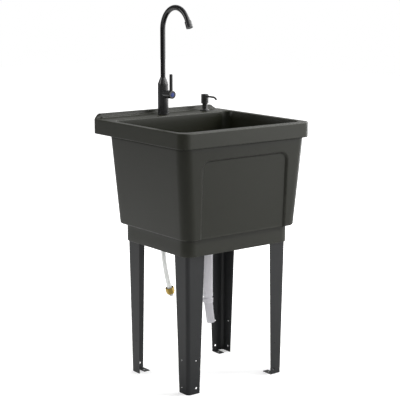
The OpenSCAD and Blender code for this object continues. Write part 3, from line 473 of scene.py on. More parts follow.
# %% Powder coat on the legs
def powder_coat():
    """Orange peel, a few pale specks, and scuffs on the lowest 50 mm."""
    f = Finish("powder_coat")
    peel = f.noise(420.0, 2.0, 0.5)
    cloud = f.noise(9.0, 2.0, 0.5)
    speck = f.cells(900.0).above(0.05, 0.16)
    height = f.node("ShaderNodeSeparateXYZ", inputs={0: f.place}, output="Z")
    scuff = f.lines((60, 60, 700), 4.0, 0.7).above(0.60, 0.75) * (1 - height.above(0.0, 0.05))
    base = f.mix(cloud, paint((27, 28, 29)), paint((32, 33, 34)))
    base = f.mix((1 - speck) * 0.2, base, paint((70, 71, 72)))
    base = f.mix(scuff * 0.5, base, paint(92))
    return f.set(Base_Color=base, Roughness=0.36 + 0.08 * cloud + 0.12 * scuff,
                 Normal=f.bump(peel, depth=0.00006, strength=0.5))


LEG = powder_coat()


# %% Gloss black paint, and the pump's gloss black plastic
def gloss_black(name, level, roughness):
    """Nearly flat paint under a coat, with wiped smears and grains of dust."""
    f = Finish(name)
    peel = f.noise(700.0, 1.0, 0.4)
    smear = f.lines((30, 30, 55), 3.0, 0.6, turn=(0.4, 0.2, 0))
    dust = (1 - f.cells(1500.0).above(0.04, 0.10)) * 0.2
    return f.set(Base_Color=f.mix(dust, paint(level), paint(70)),
                 Roughness=roughness + 0.10 * smear.above(0.45, 0.75) + dust,
                 Coat_Weight=0.35 + 0.15 * smear, Normal=f.bump(peel, depth=0.000006, strength=0.4))


TAP = gloss_black("tap_gloss_black", (42, 42, 43), 0.20)
# The gooseneck has the tap's paint; this darker copy is painted shade.
SPOUT_PAINTED_SHADE = gloss_black("spout_gloss_black_painted_shade", (22, 22, 23), 0.20)
PUMP = gloss_black("pump_gloss_black", (47, 47, 46), 0.24)


# %% Metals
def brushed(name, dark, light, scale, roughness):
    """Fine lines from a noise that is stretched along one direction, in colour, roughness and bump. Spots
    of tarnish are darker, and painted shade darkens what the skin marks as standing in shade."""
    f = Finish(name, Metallic=1.0)
    lines = f.lines(scale, 3.0, 0.7)
    tarnish = f.noise(45.0, 4.0, 0.6)
    spot = f.noise(160.0, 3.0, 0.6).above(0.66, 0.78)
    shade = f.attribute("shade")
    base = f.mix(lines * 0.6 + tarnish * 0.4, paint(dark), paint(light))
    base = f.mix(spot * 0.35, base, paint(dark, times=0.55))
    # Painted shade where the skin's shade value is set, such as inside the nut's cup.
    base = f.mix(shade, base, paint(dark, times=0.40))
    return f.set(Base_Color=base, Roughness=roughness + 0.14 * lines + 0.15 * spot + 0.30 * shade,
                 Normal=f.bump(lines, depth=0.00004, strength=0.5))


BRASS = brushed("turned_brass", (182, 150, 70), (224, 196, 118), (60, 60, 1800), 0.36)
STEEL = brushed("brushed_steel", (150, 151, 153), (205, 206, 208), (60, 60, 1600), 0.24)
STRAINER = brushed("strainer_steel", (168, 169, 171), (214, 215, 217), (900, 30, 30), 0.22)


# %% Rubber and plastics
def rubber():
    """Matt black with a pale bloom in places."""
    f = Finish("rubber", Specular_IOR_Level=0.3)
    grain = f.noise(1200.0, 2.0, 0.6)
    bloom = f.noise(70.0, 3.0, 0.6).above(0.45, 0.8)
    return f.set(Base_Color=f.mix(bloom, paint(30), paint(48)), Roughness=0.72 + 0.14 * bloom,
                 Normal=f.bump(grain, depth=0.00005, strength=0.6))


def pale_plastic(name, dark, light, roughness):
    """Cloudy tone with flow lines along the tube and fine slanting scratches."""
    f = Finish(name)
    cloud = f.noise(26.0, 3.0, 0.5)
    flow = f.lines((120, 120, 14), 3.0, 0.6)
    scratch = f.lines((900, 900, 40), 2.0, 0.5, turn=(0.3, 0.5, 0)).above(0.70, 0.78)
    base = f.mix(cloud * 0.6 + flow * 0.4, paint(dark), paint(light))
    base = f.mix(scratch * 0.25, base, paint(dark, times=0.86))
    return f.set(Base_Color=base, Roughness=roughness + 0.10 * flow + 0.15 * scratch,
                 Normal=f.bump(flow * 0.7 + scratch * 0.3, depth=0.00003, strength=0.5))


RUBBER = rubber()
PIPE = pale_plastic("pipe_plastic", (222, 220, 225), (231, 229, 234), 0.30)
# A darker copy of the pipe plastic: painted shade on the lower drain tube.
PIPE_PAINTED_SHADE = pale_plastic("pipe_plastic_painted_shade", (206, 204, 209), (216, 214, 219), 0.30)
NUT_WHITE = pale_plastic("nut_plastic", (214, 213, 209), (228, 227, 224), 0.36)
# White plastic painted darker: painted shade on the cone inside the nut.
CONE_PAINTED_SHADE = pale_plastic("cone_plastic", (192, 192, 190), (210, 210, 208), 0.34)
PUMP_WHITE = pale_plastic("pump_plastic", (216, 216, 213), (230, 230, 228), 0.34)
BOTTLE = pale_plastic("bottle_plastic", (192, 195, 195), (210, 212, 212), 0.28)


# %% Blue index cap
def blue_cap():
    """Moulded blue with a cloudy tone and a few pale flecks."""
    f = Finish("index_blue")
    fleck = f.noise(700.0, 2.0, 0.5)
    cloud = f.noise(90.0, 2.0, 0.5)
    base = f.mix(cloud, paint((40, 58, 126)), paint((54, 74, 142)))
    base = f.mix(fleck.above(0.66, 0.74) * 0.3, base, paint((120, 136, 180)))
    return f.set(Base_Color=base, Roughness=0.24 + 0.1 * cloud,
                 Normal=f.bump(fleck, depth=0.00002, strength=0.4))


BLUE = blue_cap()

# %% [markdown]
# ## The hose's braid
#
# A supply hose has a tube inside and a braid outside. The braid's strands wind both ways round the hose
# and pass over and under each other. A strand is a stripe that follows angle plus or minus length, so two
# such stripes, each raised where the other dips, make the weave. The angle and the length come with the
# tube's own points, so the braid follows every bend.

# %% Braid of the hose
STRANDS, FIBRES, TURN_PER_MM = 12.0, 96.0, 1.15


def braid():
    """The weave is sin(angle * strands + length) * sin(angle * strands - length), and the gaps between
    strands are where both are near 0."""
    f = Finish("hose_braid")
    turn = f.attribute("round") * (2 * math.pi)
    wound = f.attribute("along") * 1000.0 * TURN_PER_MM
    one = (turn * STRANDS + wound).wave()
    two = (turn * STRANDS - wound).wave()
    weave = (one * two).above(-0.9, 0.9)
    fibre = (turn * FIBRES).wave() * 0.5 + 0.5
    gap = 1 - (one.size() * 0.5 + two.size() * 0.5).above(0.02, 0.35)
    soil = f.noise(40.0, 3.0, 0.5).above(0.5, 0.8)
    base = f.mix(weave, paint((240, 242, 240)), paint((252, 253, 250)))
    base = f.mix(gap * 0.3, base, paint((190, 194, 192)))
    base = f.mix(soil * 0.2, base, paint((226, 226, 218)))
    return f.set(Base_Color=base, Roughness=0.42 + 0.1 * weave,
                 Normal=f.bump(weave * 0.8 + fibre * 0.2, depth=0.0003, strength=0.4))


supply_hose.data.materials.append(braid())

# %% [markdown]
# ## The tub's plan at every height
#
# The tub is one large moulding. Cut it level at any height and the cut is a rectangle with round corners,
# so the whole skin can be lofted: one such rectangle per row, with the same number of points in each.
# Every row is a short list of numbers, and the rows follow the skin from the rim's lower edge up and over
# the rim, down into the bowl and back up behind it. Where the sunk panel or the splash lip needs crisp
# lines, the points along the straight sides stand close together.


# %% Points round a rounded rectangle
def side_columns(fixed, beyond):
    """Points along a straight side whose end may move: place + share * (end - last). The fixed ones have
    a share of 0, and those beyond them start from the last fixed place."""
    share = np.linspace(0, 1, beyond + 2)[1:-1]
    last = fixed[-1]
    place = np.concatenate([np.full(beyond, -last), fixed, np.full(beyond, last)])
    return place, np.concatenate([-share[::-1], np.zeros(len(fixed)), share]), last


def plan_rows(table, front, back, sides=12, corner=16):
    """Loft rows. Each row of the table is left, front, right, back, front corner radius, back corner
    radius, height. The points run anticlockwise seen from above: front side, front right corner, right
    side, back right corner, and so on. A corner point is centre + radius * (cos a, sin a)."""
    l, f, r, b, rf, rb, z = np.asarray(table, float).T[:, :, None]
    turn = np.linspace(0, math.pi / 2, corner + 1)[None]
    share = np.linspace(0, 1, sides + 2)[None, 1:-1]

    def along(columns, end):
        place, portion, last = columns
        return place + portion * (end - last)

    def arc(x, y, radius, start):
        return x + radius * np.cos(turn + start), y + radius * np.sin(turn + start)

    front_x, back_x = along(front, r - rf), -along(back, r - rb)
    side_y = share * (b - rb - f - rf)
    parts = [
        (front_x, f + 0 * front_x), arc(r - rf, f + rf, rf, -math.pi / 2),
        (r + 0 * share, f + rf + side_y), arc(r - rb, b - rb, rb, 0),
        (back_x, b + 0 * back_x), arc(l + rb, b - rb, rb, math.pi / 2),
        (l + 0 * share, b - rb - side_y), arc(l + rf, f + rf, rf, math.pi),
    ]
    x, y = (np.concatenate([part[k] for part in parts], axis=1) for k in range(2))
    return np.stack([x, y, np.broadcast_to(z, x.shape)], axis=-1)


def level(box, inset, radius, z):
    """One row of the table: a box pulled in by one distance, or by four (left, front, right, back), with
    one corner radius, or two (front, back)."""
    inset, radius = np.broadcast_to(inset, (4,)), np.broadcast_to(radius, (2,))
    return [box[0] + inset[0], box[1] + inset[1], box[2] - inset[2], box[3] - inset[3], *radius, z]


def towards_circle(row, centre, radius, shares, heights):
    """Rows that go from a rounded rectangle to a circle: (1-s) * rectangle + s * circle, where a point of
    the circle lies in the same direction from its centre as the point of the rectangle."""
    away = row[:, :2] - np.array(centre)
    away = away / np.linalg.norm(away, axis=1, keepdims=True) * radius + np.array(centre)
    s = np.asarray(shares, float)[:, None, None]
    flat = (1 - s) * row[None, :, :2] + s * away[None]
    z = np.broadcast_to(np.asarray(heights, float)[:, None, None], flat.shape[:2] + (1,))
    return np.concatenate([flat, z], axis=-1)


def smooth_step(value, low, high):
    """With t = (value - low)/(high - low) held between 0 and 1, t*t*(3 - 2t)."""
    t = np.clip((value - low) / (high - low), 0, 1)
    return t * t * (3 - 2 * t)


def quarter(radius, steps):
    """Insets and rises of a quarter round: radius*(1 - cos a) and radius*sin a for a from 0 to 90."""
    a = np.linspace(0, math.pi / 2, steps + 1)
    return np.stack([radius * (1 - np.cos(a)), radius * np.sin(a)], axis=1)


def hump(rows, margin=0.0):
    """A value for each row of a rounded edge: the sine of an angle from the margin to 180 degrees less
    the margin, so that it is 1 on the middle of the round."""
    return np.sin(np.linspace(margin, math.pi - margin, len(rows)))[:, None]


# %% [markdown]
# ## Rim, tap deck, splash lip and bowl
#
# The rim is a deep band with a rounded top edge. At the back it widens into a deck for the tap, with a
# splash lip along its rear edge that slopes down at both ends, and a low step in front of the lip. A
# moulded lip could be a second block, but then a line would show where they meet. Here one height is added
# to the rows of the rim, so lip, step, deck and band are one skin.

# %% Sizes of the tub: boxes are left, front, right, back
RIM, RIM_R = (-265.0, -261.0, 265.0, 261.0), 34.0
RIM_TOP, BAND_Z = 864.0, 814.0
BODY_TOP, BODY_LOW = (-256.0, -248.0, 256.0, 176.0), (-231.0, -234.0, 231.0, 165.0)
BODY_R, BODY_Z, FOOT_ROUND = 38.0, 518.0, 6.0
BOWL_TOP, BOWL_LOW, BOWL_R = (-243.0, -230.0, 243.0, 160.0), (-222.0, -220.0, 222.0, 155.0), 28.0
SKIRT, SKIRT_R, SKIRT_Z = (-216.0, -214.0, 216.0, 145.0), 38.0, 461.0
DRAIN, DRAIN_Z, FLOOR_Z = (0.0, -44.0), 532.0, 540.0
STRAINER_R, DRAIN_HOLE_R = 40.1, 23.15
LIP_Y, LIP_H, LIP_FULL, LIP_END = 243.0, 14.0, 235.0, 256.5
STEP_Y, STEP_H = 235.0, 4.0
TOP_ROUND, BAND_ROUND, BOWL_ROUND = 3.4, 2.2, 4.0
STEEP_RISE, STEEP_RUB = 1.2, 0.15  # the lip's faces are a little rubbed where they rise this much in a row


# %% Lip and step as a height over the deck
def front_of(y, start, soft):
    """A rise from 0 to 1 at a front face, in three smooth steps: its foot, its face and its top edge."""
    return (0.30 * smooth_step(y, start - 1.2, start + 0.5) + 0.55 * smooth_step(y, start - 0.3, start + 0.6)
            + 0.15 * smooth_step(y, start + 0.2, start + soft))


def lip_height(x, y):
    """Height added to the rim: the lip's own, which starts at its front face and slopes away at each end
    with a softened upper corner, and the step's in front of it."""
    x = np.abs(x)
    slope = np.clip((LIP_END - x) / (LIP_END - LIP_FULL), 0, 1)
    slope = np.where(slope > 0.92, 1 - (1 - slope) ** 2 / 0.08 * 0.5, slope)
    lip = front_of(y, LIP_Y, 3.2)
    step = front_of(y, STEP_Y, 2.2) * (1 - smooth_step(x, LIP_FULL - 2, LIP_FULL + 2))
    return STEP_H * step * (1 - lip) + LIP_H * slope * lip


# %% Rows across the rim's top, from its outer edge in to the bowl
ACROSS = [4, 8, 11, 14, 14.8, 15.2, 15.6, 16.0, 16.4, 16.8, 17.1, 17.4, 17.7, 18.0, 18.3, 18.7, 19.2, 20.2,
          22, 23.6, 24.2, 24.6, 25.0, 25.3, 25.6, 25.9, 26.2, 26.6, 27.2, 29, 40, 55, 72, 88, 96.4]


def deck_rows():
    """Level rows whose inset at the back is that of the list. The insets at the sides and the front and
    the corner radii go along with it, so that the last row lies just outside the bowl's edge."""
    last, last_r = BOWL_ROUND + 0.6, BOWL_R + BOWL_ROUND + 0.6
    side = np.interp(ACROSS, [4, 14, 18, 27, 40, 96.4], [3.9, 7.5, 9.2, 11.5, 12.5, 22 - last])
    front = np.interp(ACROSS, [4, 40, 96.4], [3.9, 14, 31 - last])
    front_r = np.interp(ACROSS, [4, 96.4], [30, last_r])
    back_r = np.interp(ACROSS, [4, 8, 14, 18, 27, 40, 96.4], [30, 22, 12, 5, 5, 10, last_r])
    return [level(RIM, (s, f, s, b), (rf, rb), RIM_TOP)
            for b, s, f, rf, rb in zip(ACROSS, side, front, front_r, back_r)]


# %% Skin of the rim, deck and bowl
def rim_and_bowl():
    """Rows from inside the band down round its lower edge, up its face, over the top, down the bowl to
    the drain, and back up between bowl and band, where nobody sees them."""
    front = side_columns(np.linspace(-180, 180, 25), 3)
    back = side_columns(np.linspace(-200, 200, 25), 15)
    rows = [level(RIM, inset, radius, z)
            for inset, radius, z in ((6, 28, 840), (6, 28, 818), (5, 29, 815), (4.4, 29, 814))]
    rows += [level(RIM, 2.6, RIM_R - 2.6, BAND_Z)]
    rows += [level(RIM, d, RIM_R - d, BAND_Z + BAND_ROUND - up) for d, up in quarter(BAND_ROUND, 5)[::-1]]
    rows += [level(RIM, 0, RIM_R, z) for z in (816.8, 838, 859.8)]
    face_end = len(rows)
    rows += [level(RIM, d, RIM_R - d, RIM_TOP - TOP_ROUND + up) for d, up in quarter(TOP_ROUND, 7)]
    deck_start = len(rows)
    rows += deck_rows()
    deck_end = len(rows)
    rows += [level(BOWL_TOP, -d, BOWL_R + d, RIM_TOP - BOWL_ROUND + up)
             for d, up in quarter(BOWL_ROUND, 7)[::-1]]
    bowl_start = len(rows)
    for z in (859.4, 840, 780, 700, 630, 580, FLOOR_Z + BOWL_R + 0.6):
        s = (RIM_TOP - z) / (RIM_TOP - FLOOR_Z - BOWL_R)
        rows.append(level(np.array(BOWL_TOP) * (1 - s) + np.array(BOWL_LOW) * s, 0, BOWL_R, z))
    rows += [level(BOWL_LOW, d, max(BOWL_R - d, 0.5), FLOOR_Z + BOWL_R - down)
             for d, down in quarter(BOWL_R, 9)]
    skin = plan_rows(rows, front, back)
    lift = lip_height(skin[..., 0], skin[..., 1])
    lift[:face_end - 1] = 0
    skin[..., 2] += lift

    shares = [0.1, 0.25, 0.45, 0.65, 0.82, 0.94, 1]
    floor = towards_circle(skin[-1], DRAIN, STRAINER_R, shares,
                           [FLOOR_Z + (DRAIN_Z - FLOOR_Z) * s for s in shares])
    rings = [(STRAINER_R, 531.6), (STRAINER_R, 529), (30, 529), (DRAIN_HOLE_R, 529), (DRAIN_HOLE_R, 526.4),
             (38, 526.4)]
    well = [towards_circle(skin[-1], DRAIN, r, [1], [z]) for r, z in rings]
    under = [level(BOWL_LOW, 18, 12, 533), level(BOWL_LOW, 4, 24, 545), level(BOWL_LOW, -5, 33, 568),
             level(BOWL_TOP, -5, 33, 850), level(BOWL_TOP, -6, 33, 856), level(RIM, 6.6, 27.4, 856),
             level(RIM, 6, 28, 855.4)]
    skin = np.concatenate([skin, floor, *well, plan_rows(under, front, back)])

    edge = np.zeros(skin.shape[:2])
    for rounded in (range(face_end, deck_start), range(deck_end, bowl_start)):
        edge[list(rounded)] = hump(rounded)
    rise = np.abs(np.gradient(skin[deck_start:deck_end, :, 2], axis=0))
    edge[deck_start:deck_end] = np.clip(rise / STEEP_RISE, 0, 1) * STEEP_RUB
    return {"points": skin, "close_rows": True, "edge": edge}


# %% [markdown]
# ## Body, sunk panel and skirt
#
# Below the rim the body narrows towards its foot, and a narrower skirt stands under it, in which the legs
# are held. The front carries a sunk panel with round upper corners. The panel is pressed into the wall by
# moving points inwards: how far depends on their distance from the panel's outline, first a rounded crest
# and then a steep fall, so the step follows its straight sides and its corners alike. From the shoulder
# under the rim the skin goes on inside the rim, where nobody sees it, only to be closed. The finish gets a
# value for painted shade: dark in the joints over the skirt and under the rim, and darker up the wall
# towards the rim. Along the panel's crest it gets a lighter line, which is rub and painted highlight.

# %% Sizes of the panel, and where shade is painted on the wall and in the joints
PANEL_X, PANEL_TOP, PANEL_R = 171.5, 768.4, 25.0
PANEL_DEPTH, PANEL_WALL, PANEL_ROUND = 7.0, 2.4, 6.0
WALL_LOW = 524.0
FRONT_FACE_Y, NEAR_PANEL_X = -150, 181  # the part of the wall in which points may be pressed in
CREST_OUT, CREST_WIDE, CREST_RUB_AND_HIGHLIGHT = 2.5, 2.0, 0.8  # the lighter line along the panel's crest: rub and painted highlight
# Painted shade by height in mm: dark in the joints over the skirt and under the rim, and darker up the wall
# towards the rim.
SHADE_HEIGHTS = [500, 512, 517, 519, 521, 524.5, 760, 800, 809, 813]
SHADE_VALUES = [0, 0.3, 1, 1, 0.4, 0.1, 0.5, 0.6, 0.85, 1]


def inside_panel(x, z):
    """Distance inwards from the panel's outline. With p = |x| - (half width - r) and q = z - (top - r):
    r - hypot(max(p, 0), max(q, 0)) - min(max(p, q), 0)."""
    p = np.abs(x) - (PANEL_X - PANEL_R)
    q = z - (PANEL_TOP - PANEL_R)
    return PANEL_R - np.hypot(np.maximum(p, 0), np.maximum(q, 0)) - np.minimum(np.maximum(p, q), 0)


def pressed_front(y, z, sunk):
    """The front wall's y with the panel pressed in: y + crest + (depth - highest crest) * fall, where the
    crest is a part of a circle and the fall two smooth steps, both by the distance sunk."""
    wall_y = BODY_LOW[1] + (BODY_TOP[1] - BODY_LOW[1]) * np.clip((z - WALL_LOW) / (BAND_Z - WALL_LOW), 0, 1)
    bite = np.clip(sunk + PANEL_ROUND, 0, 0.92 * PANEL_ROUND)
    crest = PANEL_ROUND - np.sqrt(PANEL_ROUND ** 2 - bite ** 2)
    fall = (0.86 * smooth_step(sunk, -0.5, PANEL_WALL)
            + 0.14 * smooth_step(sunk, PANEL_WALL - 0.7, PANEL_WALL + 1.0))
    return np.maximum(y, wall_y + crest + (PANEL_DEPTH - crest.max()) * fall)


# %% Skin of the body and skirt
def body_and_skirt():
    """Rows from the drain to the skirt's inside, down round its lower edge, up its face, over the
    shoulder, up the body's wall, and back inside the rim and under the bowl to the drain."""
    near = np.concatenate([np.arange(145, 165.5, 1.2), np.arange(166, 177.3, 0.6)])
    front = side_columns(np.concatenate([-near[::-1], np.linspace(-138, 138, 21), near]), 5)
    back = side_columns(np.linspace(-170, 170, 11), 2)
    rows = [level(SKIRT, d, SKIRT_R - d, z)
            for d, z in ((6, 522), (6, 521), (6, 463.4), (5.4, 461.6), (4.4, SKIRT_Z), (1.6, SKIRT_Z),
                         (0.6, 461.4), (0.1, 462.4), (0, 463.4))]
    skirt_edge = range(len(rows) - 5, len(rows))
    rows += [level(SKIRT, -d, SKIRT_R + d, z)
             for d, z in ((0, 480), (0, 500), (0, 514.6), (0.3, 516), (1.0, 517.2), (2.2, 517.85),
                          (3.0, 518))]
    rows += [level(BODY_LOW, 7, 31, BODY_Z)]
    foot_start = len(rows)
    rows += [level(BODY_LOW, FOOT_ROUND - up, BODY_R - FOOT_ROUND + up, BODY_Z + d)
             for d, up in quarter(FOOT_ROUND, 8)]
    foot_edge = range(foot_start, len(rows))
    heights = np.concatenate([[524.5], np.linspace(540, 735, 14), np.arange(741, 763, 1.2),
                              np.arange(763.4, 775.6, 0.6), [777, 783, 795, 803, 807, 810, 813.2]])
    low, high = np.array(BODY_LOW), np.array(BODY_TOP)
    share = (heights - WALL_LOW) / (BAND_Z - WALL_LOW)
    rows += [level(low * (1 - s) + high * s, 0, BODY_R, z) for s, z in zip(share, heights)]
    wall = slice(foot_edge.stop, len(rows))
    inner = (-260.0, -256.0, 260.0, 176.0)
    rows += [level(BODY_TOP, 0, BODY_R, 813.9), level(BODY_TOP, (-0.5, -0.5, -0.5, 0), BODY_R, 814.3),
             level(inner, (1, 1, 1, 0), (30, 2.4), 814.3), level(inner, 0, (28, 2), 815.5),
             level(inner, 0, (28, 2), 856.6), level(inner, 1, (27, 2), 857.2),
             level(BOWL_TOP, -6, (33, 9), 857.2), level(BOWL_TOP, -5.4, (33, 9), 856),
             level(BOWL_LOW, -5.4, 33, 568), level(BOWL_LOW, 4, 24, 545), level(BOWL_LOW, 18, 12, 533)]
    skin = plan_rows(rows, front, back, sides=10)

    x, y, z = skin[..., 0], skin[..., 1], skin[..., 2]
    sunk = inside_panel(x, np.minimum(z, PANEL_TOP + 20))
    pressed = pressed_front(y, z, sunk)
    in_front = y < FRONT_FACE_Y
    body = slice(foot_start - 1, wall.stop)
    y[body] = np.where(in_front[body] & (np.abs(x[body]) < NEAR_PANEL_X), pressed[body], y[body])
    # A lighter line along the panel's crest: rub and painted highlight.
    crest_line = np.exp(-((sunk + CREST_OUT) / CREST_WIDE) ** 2) * in_front
    edge = np.zeros(skin.shape[:2])
    edge[wall] = crest_line[wall] * CREST_RUB_AND_HIGHLIGHT
    for rounded in (skirt_edge, foot_edge):
        edge[list(rounded)] = hump(rounded, margin=0.2)

    start = [towards_circle(skin[0], DRAIN, DRAIN_HOLE_R, [1, 1], [527, 522]),
             towards_circle(skin[0], DRAIN, 40, [1], [522])]
    skin = np.concatenate([*start, skin, towards_circle(skin[-1], DRAIN, 40, [1], [527])])
    return {"points": skin, "close_rows": True, "edge": np.pad(edge, ((3, 1), (0, 0))),
            "shade": np.interp(skin[..., 2], SHADE_HEIGHTS, SHADE_VALUES)}


# %% Blocks in the skirt's corners that hold the legs
SOCKET_REACH, SOCKET_HALF, SOCKET_SOFT, SOCKET_TOP = 78.0, 9.2, 1.6, 522.0
SOCKET_X, SOCKET_Y = {-1: -205.0, 1: 205.0}, {-1: -203.0, 1: 134.0}
BEND_AT, BEND_R = 27.0, 25.8


def leg_socket(x_side, y_side):
    """A bar with a rounded section, carried along an L with a round bend. The path's middle line runs from
    one end to the bend, round a quarter circle about (27, 27), and on to the other end."""
    a = np.radians(np.linspace(-90, -180, 13))
    bend = BEND_AT + BEND_R * np.stack([np.cos(a), np.sin(a)], axis=1)
    middle = BEND_AT - BEND_R
    path = np.concatenate([[[SOCKET_REACH, middle]], bend, [[middle, SOCKET_REACH]]])
    along = np.gradient(path, axis=0)
    along /= np.linalg.norm(along, axis=1, keepdims=True)
    across = np.stack([-along[:, 1], along[:, 0]], axis=1)

    low, flat = SKIRT_Z + 0.3, SOCKET_HALF - SOCKET_SOFT
    t = np.radians([180, 202, 225, 248, 270])
    lower_corners = [np.stack([x + SOCKET_SOFT * np.cos(t + start),
                               low + SOCKET_SOFT + SOCKET_SOFT * np.sin(t + start)], axis=1)
                     for x, start in ((-flat, 0), (flat, math.pi / 2))]
    section = np.concatenate([*lower_corners, [[SOCKET_HALF, SOCKET_TOP], [-SOCKET_HALF, SOCKET_TOP]]])
    ring = path[:, None] + across[:, None] * section[None, :, :1]
    z = np.broadcast_to(section[None, :, 1:], ring.shape[:2] + (1,))
    ends = [np.broadcast_to([*p, (low + SOCKET_TOP) / 2], (1, len(section), 3)) for p in (path[0], path[-1])]
    skin = np.concatenate([ends[0], np.concatenate([ring, z], axis=-1), ends[1]])
    skin[..., 0] = SOCKET_X[x_side] - x_side * skin[..., 0]
    skin[..., 1] = SOCKET_Y[y_side] - y_side * skin[..., 1]
    return {"points": skin}


# %% The tub
make_piece(
    "tub_moulding",
    [rim_and_bowl(), body_and_skirt()] + [leg_socket(i, j) for i in (-1, 1) for j in (-1, 1)],
    stands_for=["tub"], finish=TUB, sharp=50)

# %% [markdown]
# ## The tap
#
# The tap is a stout round body on the deck, with a cone-shaped collar on it, and a tall gooseneck that
# turns in the body. Nearly all of it is turned or bent from round stock. A turned part is a profile
# carried round an axis, and a bent tube is a circle carried along a line and an arc. Every profile has
# small rounds at its edges, as painted metal has.

# %% Body, boss and collar of the tap
TAP_AXIS = (TAP_X, TAP_Y, 0.0)
VALVE_Z = 935.5
make_piece(
    "tap_body_painted",
    [turned((0, 866), (18.5, 866, 0.5), (18.5, 967, 0.9), (15, 967, 0.2), (15, 966), (0, 966),
            at=TAP_AXIS, around=72),
     turned((0, 10), (13.5, 10, 0.1), (13.5, 30, 0.7), (0, 30), at=(TAP_X, TAP_Y, VALVE_Z), way=FORWARD)],
    stands_for=["tap_body"], finish=TAP)
make_piece(
    "spout_collar_painted",
    [turned((9.2, 967.3), (18.5, 967.3, 0.7), (18.4, 969.2, 0.6), (10.4, 991, 0.8), (9.2, 991.3),
            at=TAP_AXIS, around=72, closed=True)],
    body="spout", stands_for=["spout_collar"], finish=TAP)

# %% Gooseneck
TUBE_R, NECK_R, NECK_FOOT, NECK_Z, NECK_TURN = 9.0, 75.0, 977.0, RIM_TOP + 291.0, 155.0


def in_plane(x, y, z):
    """Points of a path that lies in a plane with one x: an array of (x, y, z) from y's and z's."""
    y, z = np.broadcast_arrays(y, z)
    return np.stack([np.full(len(y), x), y, z], axis=1)


arc_angles = np.radians(np.linspace(0, NECK_TURN, 56))
straight = in_plane(TAP_X, TAP_Y, np.linspace(NECK_FOOT, NECK_Z, 12))
bend = in_plane(TAP_X, TAP_Y - NECK_R + NECK_R * np.cos(arc_angles), NECK_Z + NECK_R * np.sin(arc_angles))
neck_line = np.concatenate([straight[:-1], bend])
make_piece("gooseneck_painted", [swept(neck_line, TUBE_R, (1, 0, 0), around=40)], body="spout",
           stands_for=["spout_tube"], finish=SPOUT_PAINTED_SHADE)

# %% Outlet at the gooseneck's end
outlet_way = (0.0, -math.sin(math.radians(NECK_TURN)), math.cos(math.radians(NECK_TURN)))
make_piece(
    "aerator_housing_painted",
    [turned((7.8, 0.2), (11.5, 0, 1.1), *groove(11.5, 0.5, start=15.4, slope=0.4, floor=0.6),
            (11.5, 24, 0.7), (9.05, 24, 0.4), (9.05, 12), (7.8, 12),
            at=bend[-1], way=outlet_way, closed=True)],
    body="spout", stands_for=["aerator_housing"], finish=TAP)

# %% [markdown]
# ## The handle
#
# The handle is a round hub on the front of the boss, a rod that stands up from it, and a blue cap in the
# hub's face for cold water. They turn together, so all three ride on the handle's body.

# %% Hub, rod and cap
HUB_AT = (TAP_X, TAP_Y - 30.3, VALVE_Z)
LEVER_AT = (TAP_X, HUB_AT[1] - 16.5, 0)
make_piece(
    "handle_hub_painted",
    [turned((0, 0), (14, 0, 0.7), (14, 25.5, 1.5), (7.6, 25.5, 0.3), (7.6, 23.5), (0, 23.5),
            at=HUB_AT, way=FORWARD)],
    body="handle", stands_for=["handle_hub"], finish=TAP)
make_piece(
    "lever_rod_painted",
    [turned((0, 939.6), (6, 939.6, 0.2), (6, 1005.5, 2.6), (0, 1005.5), at=LEVER_AT, around=48)],
    body="handle", stands_for=["lever_rod"], finish=TAP)
make_piece(
    "index_cap_blue",
    [turned((0, 23.5), (7.5, 23.5, 0.2), (7.5, 25.7, 0.4), (6.6, 25.9, 0.5), (6.0, 25.85, 0.6), (0, 26.1),
            at=HUB_AT, way=FORWARD, around=48)],
    body="handle", stands_for=["index_cap"], finish=BLUE)

# %% [markdown]
# ## The hose's ends
#
# A metal ferrule is crimped over the hose's upper end. At the lower end a brass nut turns freely on a
# short tail, with a white cone in it that seals on the stop valve in the wall. The nut is a hexagon: a
# turned shape whose radius swells six times round. Its corners are cut back by a circle a little smaller
# than they are, as on every real nut. Inside its cup and on the tail, the metal is painted darker as
# shade, and the white cone is painted darker as shade too.

# %% Ferrule, nut, tail and cone
HOSE_END = (TAP_X + 23.6, TAP_Y, 240.0)
HOSE_LEAN = math.radians(16.0)
HOSE_WAY = (math.sin(HOSE_LEAN), 0.0, -math.cos(HOSE_LEAN))
NUT_FLAT, NUT_ROUND, SIXTH = 14.0, 15.5, math.pi / 3


def hexagon(angle, height):
    """Share of the round radius: flat / cos(angle from the nearest flat's middle), never above the round,
    and 1 outside the nut's faces."""
    from_flat = (angle + SIXTH / 2) % SIXTH - SIXTH / 2
    sides = np.minimum(NUT_FLAT / np.cos(from_flat) / NUT_ROUND, 1.0)
    return np.where((height > -3.0) & (height < 15.0), sides, 1.0)


make_piece(
    "hose_ferrule_crimped",
    [turned((4.1, 770.2), (9.0, 770.2, 0.5),
            *groove(9.0, 0.4, start=773.6, slope=0.8, floor=1.0, inner=0.3),
            *groove(9.0, 0.4, start=779.4, slope=0.8, floor=1.0, inner=0.3),
            (9.0, 793.8, 0.2), (4.1, 793.8), at=TAP_AXIS, around=48, closed=True)],
    stands_for=["hose_top_ferrule"], finish=STEEL)
nut_skin = turned((9.1, 1.0, 0.4), (12.7, -4, 0.3), (13.7, -4, 0.3), (NUT_ROUND, -2.9, 0.5),
                  (NUT_ROUND, 14.4, 0.4), (13.5, 15.6, 0.3), (13.5, 19.4, 0.6), (10.5, 20, 0.3), (10.5, 6),
                  (9.1, 6), at=HOSE_END, way=HOSE_WAY, around=96, closed=True, swell=hexagon, steps=5)
nut_radius, nut_height = nut_skin["outline"][:, :1], nut_skin["outline"][:, 1:]
